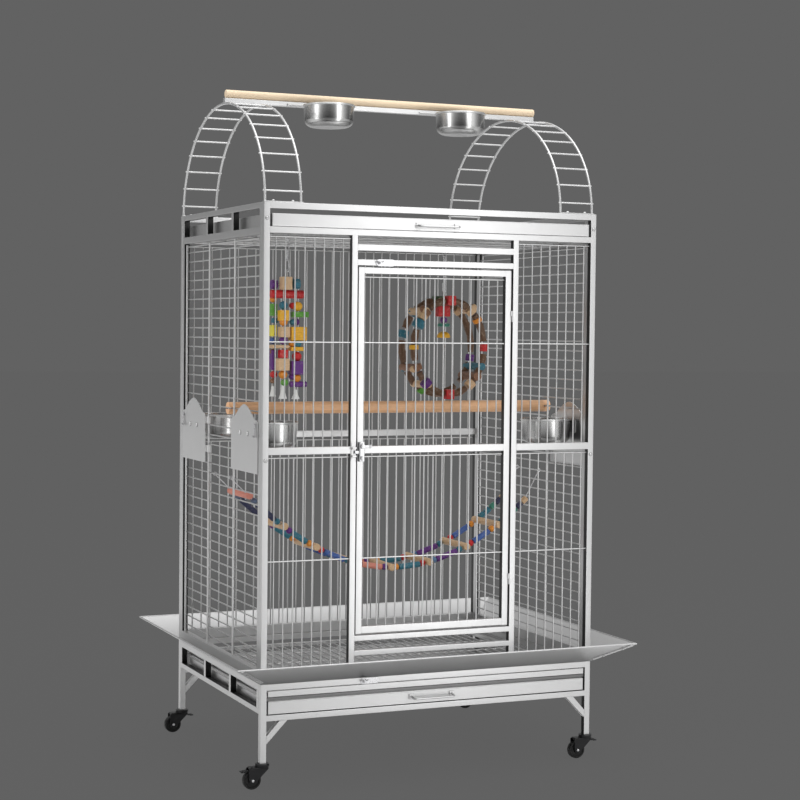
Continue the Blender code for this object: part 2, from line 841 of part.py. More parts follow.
def feeder_plate():
    """The front left feeder door: plate, hinge sleeves, bracket and bowl ring."""
    half = [(o, FOOT + z) for o, z in SHOULDER]
    outline = [(PLATE_MID + o, z) for o, z in half]
    outline += [(PLATE_MID - o, z) for o, z in reversed(half)]
    hole = [
        (LATCH_Y + 0.0030 * math.cos(a), LATCH_Z + 0.0030 * math.sin(a)) for a in OCTAGON
    ]
    shield = plate("x", PLATE_OUT, PLATE_IN, outline, [hole])
    added = []
    for lo in (0.7265, 0.8020):
        added.append(
            lathe(
                [(0.0036, 0.0), (0.0050, 0.0), (0.0050, 0.0190), (0.0036, 0.0190)],
                8,
                (-ROD_X, -ROD_IN, FOOT + lo),
                loop=True,
            )
        )
        added.append(
            cube(
                (PLATE_IN - 0.0005, -ROD_IN - 0.0125, FOOT + lo + 0.001),
                (-ROD_X - 0.0033, -ROD_IN - 0.0029, FOOT + lo + 0.018),
            )
        )
    bracket_top = FEED_RIM - 0.0018 - FIT - 0.0004
    added.append(
        cube(
            (PLATE_IN - 0.0006, PLATE_MID - 0.0345, FOOT + 0.785),
            (PLATE_IN + 0.0022, PLATE_MID + 0.0355, bracket_top),
        )
    )
    added.append(bowl_ring(-FEED_X, -FEED_Y, FEED_RIM))
    for y in (PLATE_MID + 0.0295, PLATE_MID - 0.0285):
        added.append(
            rod((PLATE_OUT + 0.0005, y, FOOT + 0.795), (PLATE_OUT - 0.0025, y, FOOT + 0.795), 0.004, 8)
        )
    return fuse(shield, added)


LATCH_Y = -POST_IN + 0.0137
LATCH_Z = FOOT + 0.8200
OCTAGON = [math.radians(45 * i + 22.5) for i in range(8)]


def feeder_latch():
    """The wing latch of the front left feeder door: lever outside, tongue inside."""
    y, z = LATCH_Y, LATCH_Z
    hub = rod((PLATE_OUT - FIT, y, z), (PLATE_OUT - 0.0045, y, z), 0.0048, 8)
    x = PLATE_OUT
    shaft = rod((x - 0.002, y, z), (x + 0.015, y, z), 0.0024, 8, math.radians(22.5))
    lever = cube((x - 0.0042, y - 0.0030, z - 0.030), (x - 0.0020, y + 0.0030, z + 0.004))
    tip = cube((x - 0.0080, y - 0.0036, z - 0.032), (x - 0.0016, y + 0.0036, z - 0.026))
    tongue = cube((x + 0.0134, y - 0.0025, z - 0.0118), (x + 0.0158, y + 0.0025, z + 0.0030))
    return fuse(hub, shaft, lever, tip, tongue)


feeder_sets = (
    ("left_front", 1, 1),
    ("left_rear", 1, -1),
    ("right_front", -1, 1),
)
plate_mesh = feeder_plate()
latch_mesh = feeder_latch()
bowl_mesh = bowl_at(-FEED_X, -FEED_Y, FEED_RIM, BOWL_H)
for label, sx, sy in feeder_sets:
    hinge_at = (-ROD_X * sx, -ROD_IN * sy, FOOT + 0.775)
    piece("feeder_plate_" + label, mirrored(plate_mesh, sx, sy), STEEL, hinge_at)
    turn_at = (PLATE_OUT * sx, LATCH_Y * sy, LATCH_Z)
    piece("feeder_latch_" + label, mirrored(latch_mesh, sx, sy), ZINC, turn_at)
    seat = (-FEED_X * sx, -FEED_Y * sy, FEED_RIM)
    piece("feeder_bowl_" + label, mirrored(bowl_mesh, sx, sy), BRIGHT, seat)


# Perch inside the cage
PERCH_Y = -0.08
PERCH_ENDS = (-HALF_W - 0.002, HALF_W + 0.006)
SLOT_IN = INNER - 0.0025
perch = rod((PERCH_ENDS[0], PERCH_Y, PERCH_Z), (PERCH_ENDS[1], PERCH_Y, PERCH_Z), 0.0155, 14)
slots = [
    cube((x0, PERCH_Y - 0.03, PERCH_Z - 0.0025), (x1, PERCH_Y + 0.03, PERCH_Z + 0.0025))
    for x0, x1 in ((-HALF_W - 0.015, -SLOT_IN), (SLOT_IN, HALF_W + 0.015))
]
piece("inner_perch", cut(perch, *slots), PERCH)


# Play top
RAIL_LO = FOOT + 1.6290
RAIL_HI = FOOT + 1.6420
LADDER_R = 0.0032
ARCH_FOOT = CAP_HI + 0.0014
ARCH_TOP = RAIL_LO - FIT - LADDER_R
ARCH_Y = HALF_D - TUBE / 2


def arch_point(x, angle):
    """A point of the ladder arch, with the angle measured from its front foot."""
    return (
        x,
        -ARCH_Y * math.cos(angle),
        ARCH_FOOT + (ARCH_TOP - ARCH_FOOT) * math.sin(angle),
    )


def ladder(x0, x1):
    """An arched ladder from the front top rail to the rear one."""
    steps = 16
    arch = [math.pi * i / steps for i in range(steps + 1)]
    rails = [wire([arch_point(x, a) for a in arch], LADDER_R) for x in (x0, x1)]
    rungs = []
    for i in range(8):
        for angle in (math.radians(5.6 + 10.2 * i), math.pi - math.radians(5.6 + 10.2 * i)):
            y, z = arch_point(0.0, angle)[1:]
            rungs.append(block((x0 + x1) / 2, y, z, x1 - x0, 0.0040, 0.0040))
    feet = []
    for hand in (-1, 1):
        y = hand * ARCH_Y
        feet.append(
            cube(
                (x0 - 0.004, y - 0.0065, CAP_HI + FIT),
                (x1 + 0.004, y + 0.0065, CAP_HI + FIT + 0.0018),
            )
        )
        for x in (x0 + 0.021, x1 - 0.021):
            feet.append(
                rod((x, y, CAP_HI + FIT + 0.001), (x, y, CAP_HI + FIT + 0.0065), 0.0042, 6)
            )
    return fuse(rails[0], rails[1], rungs, feet)


LADDER_W = 0.092
piece("ladder_left", ladder(-HALF_W + 0.005, -HALF_W + 0.005 + LADDER_W), STEEL)
piece("ladder_right", ladder(HALF_W - 0.010 - LADDER_W, HALF_W - 0.010), STEEL)

TOP_RIM = FOOT + 1.6300
TOP_BOWLS = (-0.1880, 0.1866)
TOP_BOWL_Y = -BOWL_R - 0.015
rail = cube((-HALF_W + 0.009, -0.007, RAIL_LO), (HALF_W - 0.011, 0.007, RAIL_HI))
rings = []
for x in TOP_BOWLS:
    rings.append(bowl_ring(x, TOP_BOWL_Y, TOP_RIM))
    ring_z = TOP_RIM - 0.0018 - FIT - 0.0016
    low, high = ring_z - 0.0013, RAIL_LO + 0.0080
    rings.append(cube((x - 0.024, -0.0130, low), (x + 0.024, -0.0067, ring_z + 0.0013)))
    rings.append(cube((x - 0.023, -0.0108, low + 0.0002), (x + 0.023, -0.0065, high)))
    rings.append(cube((x - 0.088, -0.0106, high - 0.005), (x + 0.031, -0.0063, high - 0.0007)))
rings.append(rod((0.288, -0.006, FOOT + 1.6355), (0.288, -0.0105, FOOT + 1.6355), 0.0035, 8))
piece("playtop_rail", fuse(rail, rings), STEEL)
DOWEL_R = 0.0105
dowel_z = RAIL_HI + FIT + DOWEL_R
dowel = rod((-HALF_W + 0.013, 0, dowel_z), (HALF_W - 0.010, 0, dowel_z), DOWEL_R, 14)
piece("playtop_perch", dowel, PERCH)
for label, x in zip(("left", "right"), TOP_BOWLS):
    top_bowl = bowl_at(x, TOP_BOWL_Y, TOP_RIM, 0.058)
    piece("playtop_bowl_" + label, top_bowl, BRIGHT, (x, TOP_BOWL_Y, TOP_RIM))


# Casters
REAR_PIVOT = 0.0390  # brake pivot behind the swivel, where the brake is on the trailing side


def caster_fork(x, y):
    """A swivel fork with its axle; the wheel trails behind the swivel."""
    disc = rod((x, y, 0.0532), (x, y, FOOT - FIT), 0.0175, 14)
    crown = cube((x - 0.034, y - 0.0128, 0.0478), (x + 0.013, y + 0.0128, 0.0540))
    cheeks = []
    for hand in (-1, 1):
        inner = y + hand * 0.0096
        outer = y + hand * 0.0124
        outline = [
            (x - 0.0370, 0.0505),
            (x - 0.0345, 0.0170),
            (x - 0.0205, 0.0160),
            (x + 0.0125, 0.0490),
            (x + 0.0125, 0.0530),
            (x - 0.0300, 0.0530),
        ]
        cheeks.append(plate("y", min(inner, outer), max(inner, outer), outline))
    axle_at = (x - TRAIL, WHEEL_R)
    axle = rod((axle_at[0], y - 0.0145, WHEEL_R), (axle_at[0], y + 0.0145, WHEEL_R), 0.0034, 8)
    return fuse(disc, crown, cheeks, axle)


def caster_wheel(x, y):
    """A wheel turning on its fork's axle."""
    tyre = lathe(
        [
            (0.0038, -0.0084),
            (0.0200, -0.0084),
            (WHEEL_R, -0.0055),
            (WHEEL_R, 0.0055),
            (0.0200, 0.0084),
            (0.0038, 0.0084),
        ],
        20,
        (0, 0, 0),
        loop=True,
    )
    spin = Matrix.Rotation(math.pi / 2, 4, "X")
    tyre.transform(Matrix.Translation((x - TRAIL, y, WHEEL_R)) @ spin)
    return tyre


def caster_brake(x, y, side):
    """The foot lever of a caster brake, on the leading or the trailing side."""
    if side > 0:
        return fuse(
            cube((x + 0.0140, y - 0.0080, 0.0440), (x + 0.0215, y + 0.0080, 0.0466)),
            cube((x + 0.0195, y - 0.0095, 0.0432), (x + 0.0300, y + 0.0095, 0.0458)),
            rod((x + 0.0155, y - 0.0085, 0.0465), (x + 0.0155, y + 0.0085, 0.0465), 0.0020, 8),
        )
    return fuse(
        cube((x - 0.0480, y - 0.0080, 0.0440), (x - REAR_PIVOT, y + 0.0080, 0.0466)),
        cube((x - 0.0560, y - 0.0095, 0.0428), (x - 0.0455, y + 0.0095, 0.0454)),
        rod((x - REAR_PIVOT, y - 0.0110, 0.0465), (x - REAR_PIVOT, y + 0.0110, 0.0465), 0.0020, 8),
    )


corners = (
    ("front_left", -1, -1, -1),
    ("front_right", 1, -1, 1),
    ("rear_left", -1, 1, 1),
    ("rear_right", 1, 1, 1),
)
for label, sx, sy, pedal in corners:
    x, y = sx * LEG_X, sy * LEG_Y
    hub_at = (x - TRAIL, y, WHEEL_R)
    piece("caster_fork_" + label, caster_fork(x, y), BLACK, (x, y, FOOT))
    piece("caster_wheel_" + label, caster_wheel(x, y), TREAD, hub_at)
    pivot_at = (x + 0.0155, y, 0.0465) if pedal > 0 else (x - REAR_PIVOT, y, 0.0465)
    piece("caster_brake_" + label, caster_brake(x, y, pedal), BLACK, pivot_at)


# Toys
RING_DROP = 0.0019  # how far a hanging ring's centre lies below the rod that carries it
EYE_R = 0.0052
EYE_RISE = 0.0010  # height of a toy's eye above the foot of its chain
EYE_PIVOT = EYE_RISE + EYE_R * math.sin(math.pi / 3)


def eye_ring(x, y, top):
    """The eye of a toy, linked into the last link of its chain."""
    turns = [2 * math.pi * i / 6 for i in range(6)]
    points = [(x, y + EYE_R * math.cos(t), top + EYE_RISE + EYE_R * math.sin(t)) for t in turns]
    return wire(points, 0.0012, 0, True)


def link(centre, half_height, half_width, radius, across):
    """One chain link; across names the axis its opening faces."""
    x, y, z = centre
    points = []
    for i in range(6):
        a = 2 * math.pi * (i + 0.5) / 6
        side = half_width * math.cos(a)
        up = half_height * math.sin(a)
        points.append((x, y + side, z + up) if across == "x" else (x + side, y, z + up))
    return wire(points, radius, 0, True)


def chain(x, y, top, bottom, count):
    """Links fused in a run, from a ring round a roof rod down to the toy."""
    made = [link((x, y, top - RING_DROP), 0.0062, 0.0062, 0.0012, "x")]
    first = top - RING_DROP - 0.0050
    drop = (first - bottom) / count
    for i in range(count):
        mid = first - drop * (i + 0.5)
        made.append(link((x, y, mid), drop * 0.5 + 0.0008, 0.0052, 0.0013, "yx"[i % 2]))
    return fuse(made[0], made[1:])


TOY_X = -REAR_PITCH * (math.floor((HALF_W - 0.112) / REAR_PITCH) + 0.5)
TOY_Y = -0.2
TOY_TOP = FOOT + 1.195
toy_chain = chain(TOY_X, TOY_Y, ROOF_Z, TOY_TOP + 0.001, 3)
piece("block_toy_chain", toy_chain, ZINC, (TOY_X, TOY_Y, ROOF_Z))


def block_toy():
    """Blocks, bars and beads on three strings under one hanging eye."""
    left, mid, right = TOY_X - 0.032, TOY_X - 0.013, TOY_X + 0.021
    back, fore = TOY_Y + 0.012, TOY_Y - 0.010
    z = lambda v: FOOT + v
    eye = eye_ring(TOY_X, TOY_Y, TOY_TOP)
    parts = [
        block(mid + 0.006, fore, z(1.166), 0.026, 0.026, 0.032),
        rod((left - 0.006, back, z(1.163)), (left + 0.009, back, z(1.163)), 0.012, 6),
        rod((right - 0.010, fore - 0.004, z(1.165)), (right + 0.006, fore - 0.004, z(1.165)), 0.0125, 6),
        rod((left - 0.011, TOY_Y, z(1.139)), (right + 0.021, TOY_Y, z(1.139)), 0.0105, 6),
        ball((mid, fore, z(1.111)), 0.0105),
        ball((right + 0.003, fore, z(1.109)), 0.0125),
        block(left, back, z(1.100), 0.016, 0.020, 0.030),
        block(mid, fore, z(1.086), 0.024, 0.022, 0.026),
        block(right + 0.009, fore, z(1.089), 0.042, 0.021, 0.018),
        ball((right + 0.002, TOY_Y, z(1.070)), 0.0105),
        block(left, back, z(1.048), 0.013, 0.024, 0.028),
        block(mid + 0.002, fore, z(1.045), 0.024, 0.026, 0.026),
        block(right + 0.004, fore, z(1.041), 0.041, 0.026, 0.034),
        ball((mid, fore, z(1.024)), 0.0110),
        ball((right + 0.002, fore, z(1.016)), 0.0110),
        block((left + mid) / 2, TOY_Y, z(1.0085), 0.046, 0.040, 0.008),
        block(right, fore, z(1.003), 0.034, 0.030, 0.010),
        block(mid, fore, z(0.9905), 0.021, 0.021, 0.021),
        ball((right + 0.002, fore, z(0.984)), 0.0125),
        block(left, back, z(0.975), 0.012, 0.024, 0.050),
        block(mid - 0.002, fore, z(0.964), 0.030, 0.028, 0.030),
        block(right + 0.002, fore, z(0.956), 0.035, 0.028, 0.034),
        ball((mid, fore, z(0.939)), 0.0110),
        ball((right + 0.002, fore, z(0.931)), 0.0110),
        ball((mid + 0.004, fore, z(0.919)), 0.0085),
        block(right + 0.006, fore, z(0.915), 0.044, 0.014, 0.013),
    ]
    strings = [
        cube((left - 0.0015, back - 0.0015, z(0.898)), (left + 0.0015, back + 0.0015, z(1.139))),
        cube((mid - 0.0015, fore - 0.0015, z(0.890)), (mid + 0.0015, fore + 0.0015, z(1.166))),
        cube((right - 0.0015, fore - 0.0016, z(0.890)), (right + 0.0015, fore + 0.0014, z(1.165))),
        cube((left, back - 0.0013, z(1.161)), (mid + 0.006, back + 0.0012, z(1.165))),
        cube((mid + 0.004, TOY_Y - 0.002, z(1.163)), (mid + 0.008, back + 0.0017, z(1.167))),
        cube((mid + 0.006, fore - 0.0012, z(1.164)), (right, fore + 0.0011, z(1.168))),
        cube((TOY_X - 0.0014, TOY_Y - 0.0014, z(1.170)), (TOY_X + 0.0014, TOY_Y + 0.0013, TOY_TOP - 0.0028)),
    ]
    bells = [
        rod((left, back, z(0.886)), (left, back, z(0.903)), 0.0060, 6),
        rod((mid, fore, z(0.880)), (mid, fore, z(0.901)), 0.0085, 6),
        rod((right, fore, z(0.878)), (right, fore, z(0.899)), 0.0090, 6),
    ]
    return fuse(parts[0], parts[1:], strings, bells, eye)


piece("block_toy", block_toy(), TOYS, (TOY_X, TOY_Y, TOY_TOP + EYE_PIVOT))

RING_X = 0.0254 * 7.5
RING_Y = 0.02
RING_TOP = FOOT + 1.158
RING_Z = FOOT + 1.007
RING_A = 0.104
RING_B = 0.1265
ring_chain = chain(RING_X, RING_Y, ROOF_Z, RING_TOP + 0.001, 5)
piece("ring_toy_chain", ring_chain, ZINC, (RING_X, RING_Y, ROOF_Z))


def hoop_point(turn, y, grow=0.0):
    """A point of a hoop, with the turn in degrees from the right, going up."""
    a = math.radians(turn)
    x = RING_X - 0.002 + (RING_A + grow) * math.cos(a)
    return (x, y, RING_Z + (RING_B + grow) * math.sin(a))


def ring_toy():
    """Two hoops of branch sections joined by cross blocks, with a string of beads inside."""
    fore, back = RING_Y - 0.040, RING_Y + 0.040
    hoops = [
        wire([hoop_point(22.5 * i, y) for i in range(16)], 0.0115, 0, True) for y in (fore, back)
    ]
    crosses = [
        rod(hoop_point(t, fore - 0.012), hoop_point(t, back + 0.012), 0.0105, 6)
        for t in (52, 132, 205)
    ]
    beads = [ball(hoop_point(t, fore), 0.0165) for t in (36, 150, 228)]
    beads.append(ball(hoop_point(165, back), 0.0165))
    beads.append(block(*hoop_point(322, RING_Y), 0.030, 0.105, 0.026))
    top = cube(
        (RING_X - 0.0125, fore - 0.014, RING_Z + RING_B - 0.014),
        (RING_X + 0.0130, back + 0.014, RING_Z + RING_B + 0.0135),
    )
    low = cube(
        (RING_X - 0.0140, fore - 0.013, RING_Z - RING_B - 0.0125),
        (RING_X + 0.0110, back + 0.013, RING_Z - RING_B + 0.0135),
    )
    string = cube(
        (RING_X - 0.0014, RING_Y - 0.0014, RING_Z + 0.028),
        (RING_X + 0.0014, RING_Y + 0.0014, RING_Z + RING_B),
    )
    inner = [
        block(RING_X - 0.004, RING_Y, RING_Z + 0.098, 0.036, 0.026, 0.029),
        ball((RING_X, RING_Y, RING_Z + 0.074), 0.0095),
        rod((RING_X, RING_Y, RING_Z + 0.055), (RING_X, RING_Y, RING_Z + 0.066), 0.0165, 8),
        rod((RING_X, RING_Y, RING_Z + 0.026), (RING_X, RING_Y, RING_Z + 0.043), 0.0180, 8),
    ]
    stem = cube(
        (RING_X - 0.0012, RING_Y - 0.0013, RING_Z + RING_B + 0.010),
        (RING_X + 0.0013, RING_Y + 0.0012, RING_TOP - 0.0028),
    )
    return fuse(top, hoops, crosses, beads, low, string, inner, stem, eye_ring(RING_X, RING_Y, RING_TOP))


piece("ring_toy", ring_toy(), TOYS, (RING_X, RING_Y, RING_TOP + EYE_PIVOT))

BRIDGE_Z = PERCH_Z - 7 * ROW_PITCH
BRIDGE_LOW = FOOT + 0.425
BRIDGE_END = ROW_X - 0.0376
BRIDGE_Y = (-0.066, 0.062)
HOOK_R = 0.0041  # ring round a row of the side panel


def bridge_z(x):
    """The sag of the bridge between its side hooks, lowest a little right of the middle."""
    u = (x - 0.02) / 0.452
    return BRIDGE_LOW + (BRIDGE_Z - BRIDGE_LOW) * u * u * 0.96


def bead_bridge():
    """Two strings of beads with cross sticks between them, hooked to the side panels."""
    strands = []
    sticks = []
    for y in BRIDGE_Y:
        xs = [BRIDGE_END * (i - 5) / 5 for i in range(11)]
        strands.append(wire([(x, y, bridge_z(x)) for x in xs], 0.0090))
        for hand in (-1, 1):
            inner = (hand * (BRIDGE_END - 0.005), y, bridge_z(hand * (BRIDGE_END - 0.005)))
            outer = (hand * (ROW_X - 0.0018), y, BRIDGE_Z - 0.0035)
            strands.append(rod(inner, outer, 0.0014, 6))
            turns = [2 * math.pi * (i + 0.5) / 8 for i in range(8)]
            ring = [
                (hand * (ROW_X + HOOK_R * math.cos(t)), y, BRIDGE_Z + HOOK_R * math.sin(t)) for t in turns
            ]
            strands.append(wire(ring, 0.0012, 0, True))
    for share in (-0.975, -0.741, -0.521, -0.259, 0.005, 0.277, 0.546, 0.783):
        x = BRIDGE_END * share
        z = bridge_z(x)
        sticks.append(rod((x, BRIDGE_Y[0] - 0.016, z), (x, BRIDGE_Y[1] + 0.016, z), 0.0095, 6))
    return fuse(strands[0], strands[1:], sticks)


piece("bead_bridge", bead_bridge(), TOYS, (0.0, 0.0, BRIDGE_Z))
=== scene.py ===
"""Finishes the parrot cage: satin steel tube and wire, turned perches, bowls, casters and toys.

Metres, +Z up, the front faces -Y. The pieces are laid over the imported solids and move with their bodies.
"""

import math

import bmesh
import bpy
import numpy as np
from bpy.props import FloatProperty, FloatVectorProperty, PointerProperty
from mathutils import Matrix, Vector


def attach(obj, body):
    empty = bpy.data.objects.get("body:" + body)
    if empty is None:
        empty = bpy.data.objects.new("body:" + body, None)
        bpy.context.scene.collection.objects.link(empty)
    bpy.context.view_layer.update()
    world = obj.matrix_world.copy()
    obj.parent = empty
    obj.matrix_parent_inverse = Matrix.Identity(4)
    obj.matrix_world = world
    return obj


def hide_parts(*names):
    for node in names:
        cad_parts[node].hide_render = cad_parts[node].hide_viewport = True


bl_info = {
    "name": "Parrot Cage Finishes",
    "version": (1, 0, 0),
    "blender": (4, 5, 0),
    "location": "View3D > Sidebar > Parrot Cage",
    "description": "Builds the finished surfaces of a parrot cage over its solid model",
    "category": "Object",
}

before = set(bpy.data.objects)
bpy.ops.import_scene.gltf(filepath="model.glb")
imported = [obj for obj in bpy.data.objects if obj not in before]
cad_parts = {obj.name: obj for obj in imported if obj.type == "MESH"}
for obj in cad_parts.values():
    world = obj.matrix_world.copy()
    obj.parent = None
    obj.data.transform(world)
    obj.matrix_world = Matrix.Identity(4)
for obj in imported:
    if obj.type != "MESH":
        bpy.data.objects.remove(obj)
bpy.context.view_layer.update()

# Sizes shared with the solid model
FOOT = 0.061
HALF_W = 0.455
FRONT = -0.343
TUBE = 0.016
FRONT_IN = FRONT + TUBE
INNER = HALF_W - TUBE
SIDE_END = 0.3267
POST_IN = SIDE_END - TUBE
BASE_TOP = FOOT + 0.193
CAGE_FOOT = FOOT + 0.1948
CAGE_SILL = FOOT + 0.2225
MID_LO = FOOT + 0.748
MID_HI = FOOT + 0.766
BAND_LO = FOOT + 1.2825
BAND_HI = FOOT + 1.298
CAP_LO = FOOT + 1.341
CAP_HI = FOOT + 1.357
HIGH_WIRE = FOOT + 1.021
LOW_WIRE = FOOT + 0.489
BAR_Y = FRONT + TUBE / 2
PERCH_Z = FOOT + 0.8505
ROD_X = 0.4475
FEEDER_ROD = 0.105
CORNER_ROD = 0.307
ROW_X = 0.4426
PITCH = 0.025
ROW_PITCH = 0.0254
HINGE = (0.2128, -0.3447)
DOOR_L = -0.2095
DOOR_R = 0.2105
POST_L = -0.211
POST_R = 0.215
GRATE_LO = FOOT + 0.1610

# Outer faces of the door posts, the opening inside the door's stiles and rails, hinges and corner bolts
POST_L_OUT = -0.227
POST_R_OUT = 0.231
LEAF_L = -0.1925
LEAF_R = 0.1935
LEAF_SILL = FOOT + 0.320
LEAF_HEAD = FOOT + 1.190
HINGE_HEIGHTS = (FOOT + 0.42, FOOT + 1.09)
CORNER_BOLTS = [(x, z) for x in (-0.447, 0.447) for z in (FOOT + 1.318, FOOT + 0.735)]

# Bowls, roof bars, casters (the axle sits behind and below the swivel) and the toys' places
BOWL_R = 0.064
BOWL_RING_R = 0.0662
RING_BELOW = 0.0037
FEEDER_BOWL = (-0.386, -0.209)
FEEDER_RIM = FOOT + 0.823
ROOF_MIDDLE = FOOT + 1.2875
CASTER_X = 0.447
CASTER_Y = 0.335
AXLE_BACK = 0.027
AXLE_Z = 0.0225
ROOF_Z = FOOT + 1.284
RING_DROP = 0.0019
TOY_X = -13.5 * ROW_PITCH
TOY_Y = -0.2
TOY_TOP = FOOT + 1.195
RING_X = 7.5 * ROW_PITCH
RING_Y = 0.02
RING_TOP = FOOT + 1.158
RING_Z = FOOT + 1.007
RING_A = 0.104
RING_B = 0.1265
BRIDGE_Z = PERCH_Z - 7 * ROW_PITCH
BRIDGE_LOW = FOOT + 0.425
BRIDGE_Y = (-0.066, 0.062)

# The corner posts, each with the side that looks into an opening, which gets painted shade
CORNER_POSTS = ((-HALF_W, -INNER, "r"), (INNER, HALF_W, "l"))

# Corner radius of square tube, how far the ends of a tube and of a wire go into what they are welded to,
# the gap between pieces that lie together, and tones of painted shade (PLAIN is none)
EDGE = 0.0013
BURIED = 0.0006
WELD = 0.002
GAP = 0.0003
PLAIN = (1.0, 1.0, 1.0)
REVEAL_SHADE = 0.06
SHADED = 0.30


# Surfaces


class Shape:
    """The points and faces of one piece.

    Every part keeps its own running coordinates (length along it, then two across it, in metres),
    which grain and brushing follow, and a colour per point: a toy's dyed colour, painted shade on steel tube
    and sheet, and the bowls' masks of painted reflection and painted shade.
    """

    def __init__(self):
        self.points = []
        self.runs = []
        self.dyes_and_shades = []
        self.faces = []
        self.total = 0

    def grid(self, points, run, dye=PLAIN, loop_along=False):
        """Joins rows (along) by columns (around) of points into quads, and caps the two end rows if open."""
        rows, columns = points.shape[:2]
        index = self.total + np.arange(rows * columns).reshape(rows, columns)
        first, last = index[0], index[-1]
        index = np.concatenate([index, index[:, :1]], axis=1)
        if loop_along:
            index = np.concatenate([index, index[:1]], axis=0)
        quads = np.stack([index[:-1, :-1], index[:-1, 1:], index[1:, 1:], index[1:, :-1]], axis=-1)
        self.faces.extend(quads.reshape(-1, 4).tolist())
        if not loop_along:
            self.faces.append(first[::-1].tolist())
            self.faces.append(last.tolist())
        self.points.append(points.reshape(-1, 3))
        self.runs.append(run.reshape(-1, 3))
        dyes_and_shades = np.ones((rows, columns, 4))
        dyes_and_shades[..., :3] = dye
        self.dyes_and_shades.append(dyes_and_shades.reshape(-1, 4))
        self.total += rows * columns

    def piece(self, name, body, paint, node=None, smooth=35.0):
        """The finished object, riding on its body and standing for a solid where one is named."""
        mesh = bpy.data.meshes.new(name)
        mesh.from_pydata(np.concatenate(self.points).tolist(), [], self.faces)
        run = mesh.attributes.new("run", "FLOAT_VECTOR", "POINT")
        run.data.foreach_set("vector", np.concatenate(self.runs).ravel())
        # per-point colour: a toy's dyed colour, painted shade on steel, and the bowls' painted reflection and
        # shade masks
        dye = mesh.color_attributes.new("dye", "FLOAT_COLOR", "POINT")
        dye.data.foreach_set("color", np.concatenate(self.dyes_and_shades).ravel())
        shell = bmesh.new()
        shell.from_mesh(mesh)
        bmesh.ops.remove_doubles(shell, verts=shell.verts, dist=1e-7)
        bmesh.ops.recalc_face_normals(shell, faces=shell.faces)
        shell.to_mesh(mesh)
        shell.free()
        mesh.polygons.foreach_set("use_smooth", [True] * len(mesh.polygons))
        mesh.set_sharp_from_angle(angle=math.radians(smooth))
        mesh.materials.append(paint)
        made = bpy.data.objects.new(name, mesh)
        bpy.context.scene.collection.objects.link(made)
        flat = made.modifiers.new("flat_faces", "WEIGHTED_NORMAL")
        flat.keep_sharp = True
        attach(made, body)
        if node:
            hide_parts(*([node] if isinstance(node, str) else node))
        return made


def offset(outline, inward):
    """The outline moved inward: each corner goes along the sum of its two edge normals, mitred."""
    ahead = np.roll(outline, -1, axis=0) - outline
    area = np.sum(outline[:, 0] * np.roll(outline[:, 1], -1) - np.roll(outline[:, 0], -1) * outline[:, 1])
    normal = np.stack([-ahead[:, 1], ahead[:, 0]], axis=1) * np.sign(area)
    normal /= np.linalg.norm(normal, axis=1, keepdims=True)
    behind = np.roll(normal, 1, axis=0)
    reach = (normal + behind) / (1.0 + np.sum(normal * behind, axis=1, keepdims=True)).clip(0.3)
    return outline + reach * inward


def rounded(a0, a1, b0, b1, radius):
    """A rectangle with quarter-circle corners: each corner's centre plus radius times (cos, sin)."""
    turn = np.linspace(0.0, math.pi / 2, 4)
    centres = [(a1 - radius, b1 - radius), (a0 + radius, b1 - radius)]
    centres += [(a0 + radius, b0 + radius), (a1 - radius, b0 + radius)]
    arcs = []
    for quarter, (a, b) in enumerate(centres):
        angle = turn + quarter * math.pi / 2
        arcs.append(np.stack([a + radius * np.cos(angle), b + radius * np.sin(angle)], axis=1))
    return np.concatenate(arcs)


def stacked(shape, outline, levels, axis, dye=PLAIN):
    """A solid of stacked outlines: each level is (height along the axis, inset of the outline)."""
    rows = np.array([offset(outline, inset) for _, inset in levels])
    height = np.repeat(np.array([level for level, _ in levels])[:, None], outline.shape[0], axis=1)
    a, b = rows[..., 0], rows[..., 1]
    order = {"x": (height, a, b), "y": (a, height, b), "z": (a, b, height)}[axis]
    middle = outline.mean(axis=0)
    run = np.stack([height, a - middle[0], b - middle[1]], axis=-1)
    shape.grid(np.stack(order, axis=-1), run, dye)


def reveal_shading(outline, dim):
    """One tone for each outline point: painted shade on the named faces, which are the low or high side (l,
    r) of the outline's first axis and the low or high side (d, u) of its second, and full brightness
    elsewhere.
    """
    low, high = outline.min(axis=0) + 0.0002, outline.max(axis=0) - 0.0002
    faces = {"l": outline[:, 0] < low[0], "r": outline[:, 0] > high[0]}
    faces.update({"d": outline[:, 1] < low[1], "u": outline[:, 1] > high[1]})
    tone = np.ones((len(outline), 3))
    # painted shade: the named faces are darkened
    for face in dim:
        tone[faces[face]] = REVEAL_SHADE
    return tone


def prism(shape, outline, lo, hi, axis, soft=0.0004, dye=PLAIN):
    """An outline drawn out from lo to hi, with quarter-round ends of radius soft."""
    turn = np.linspace(0.0, math.pi / 2, 3)
    start = [(lo + soft * (1 - math.cos(t)), soft * (1 - math.sin(t))) for t in turn]
    end = [(hi - soft * (1 - math.cos(t)), soft * (1 - math.sin(t))) for t in turn[::-1]]
    stacked(shape, np.asarray(outline, float), start + end, axis, dye)


def tube(shape, lo, hi, edge=EDGE, dye=PLAIN, soft=None):
    """A square tube or block between two corners, drawn out along its longest side."""
    size = [h - l for l, h in zip(lo, hi)]
    along = size.index(max(size))
    a, b = [i for i in range(3) if i != along]
    edge = min(edge, 0.45 * size[a], 0.45 * size[b])
    outline = rounded(lo[a], hi[a], lo[b], hi[b], edge)
    prism(shape, outline, lo[along], hi[along], "xyz"[along], edge * 0.6 if soft is None else soft, dye)


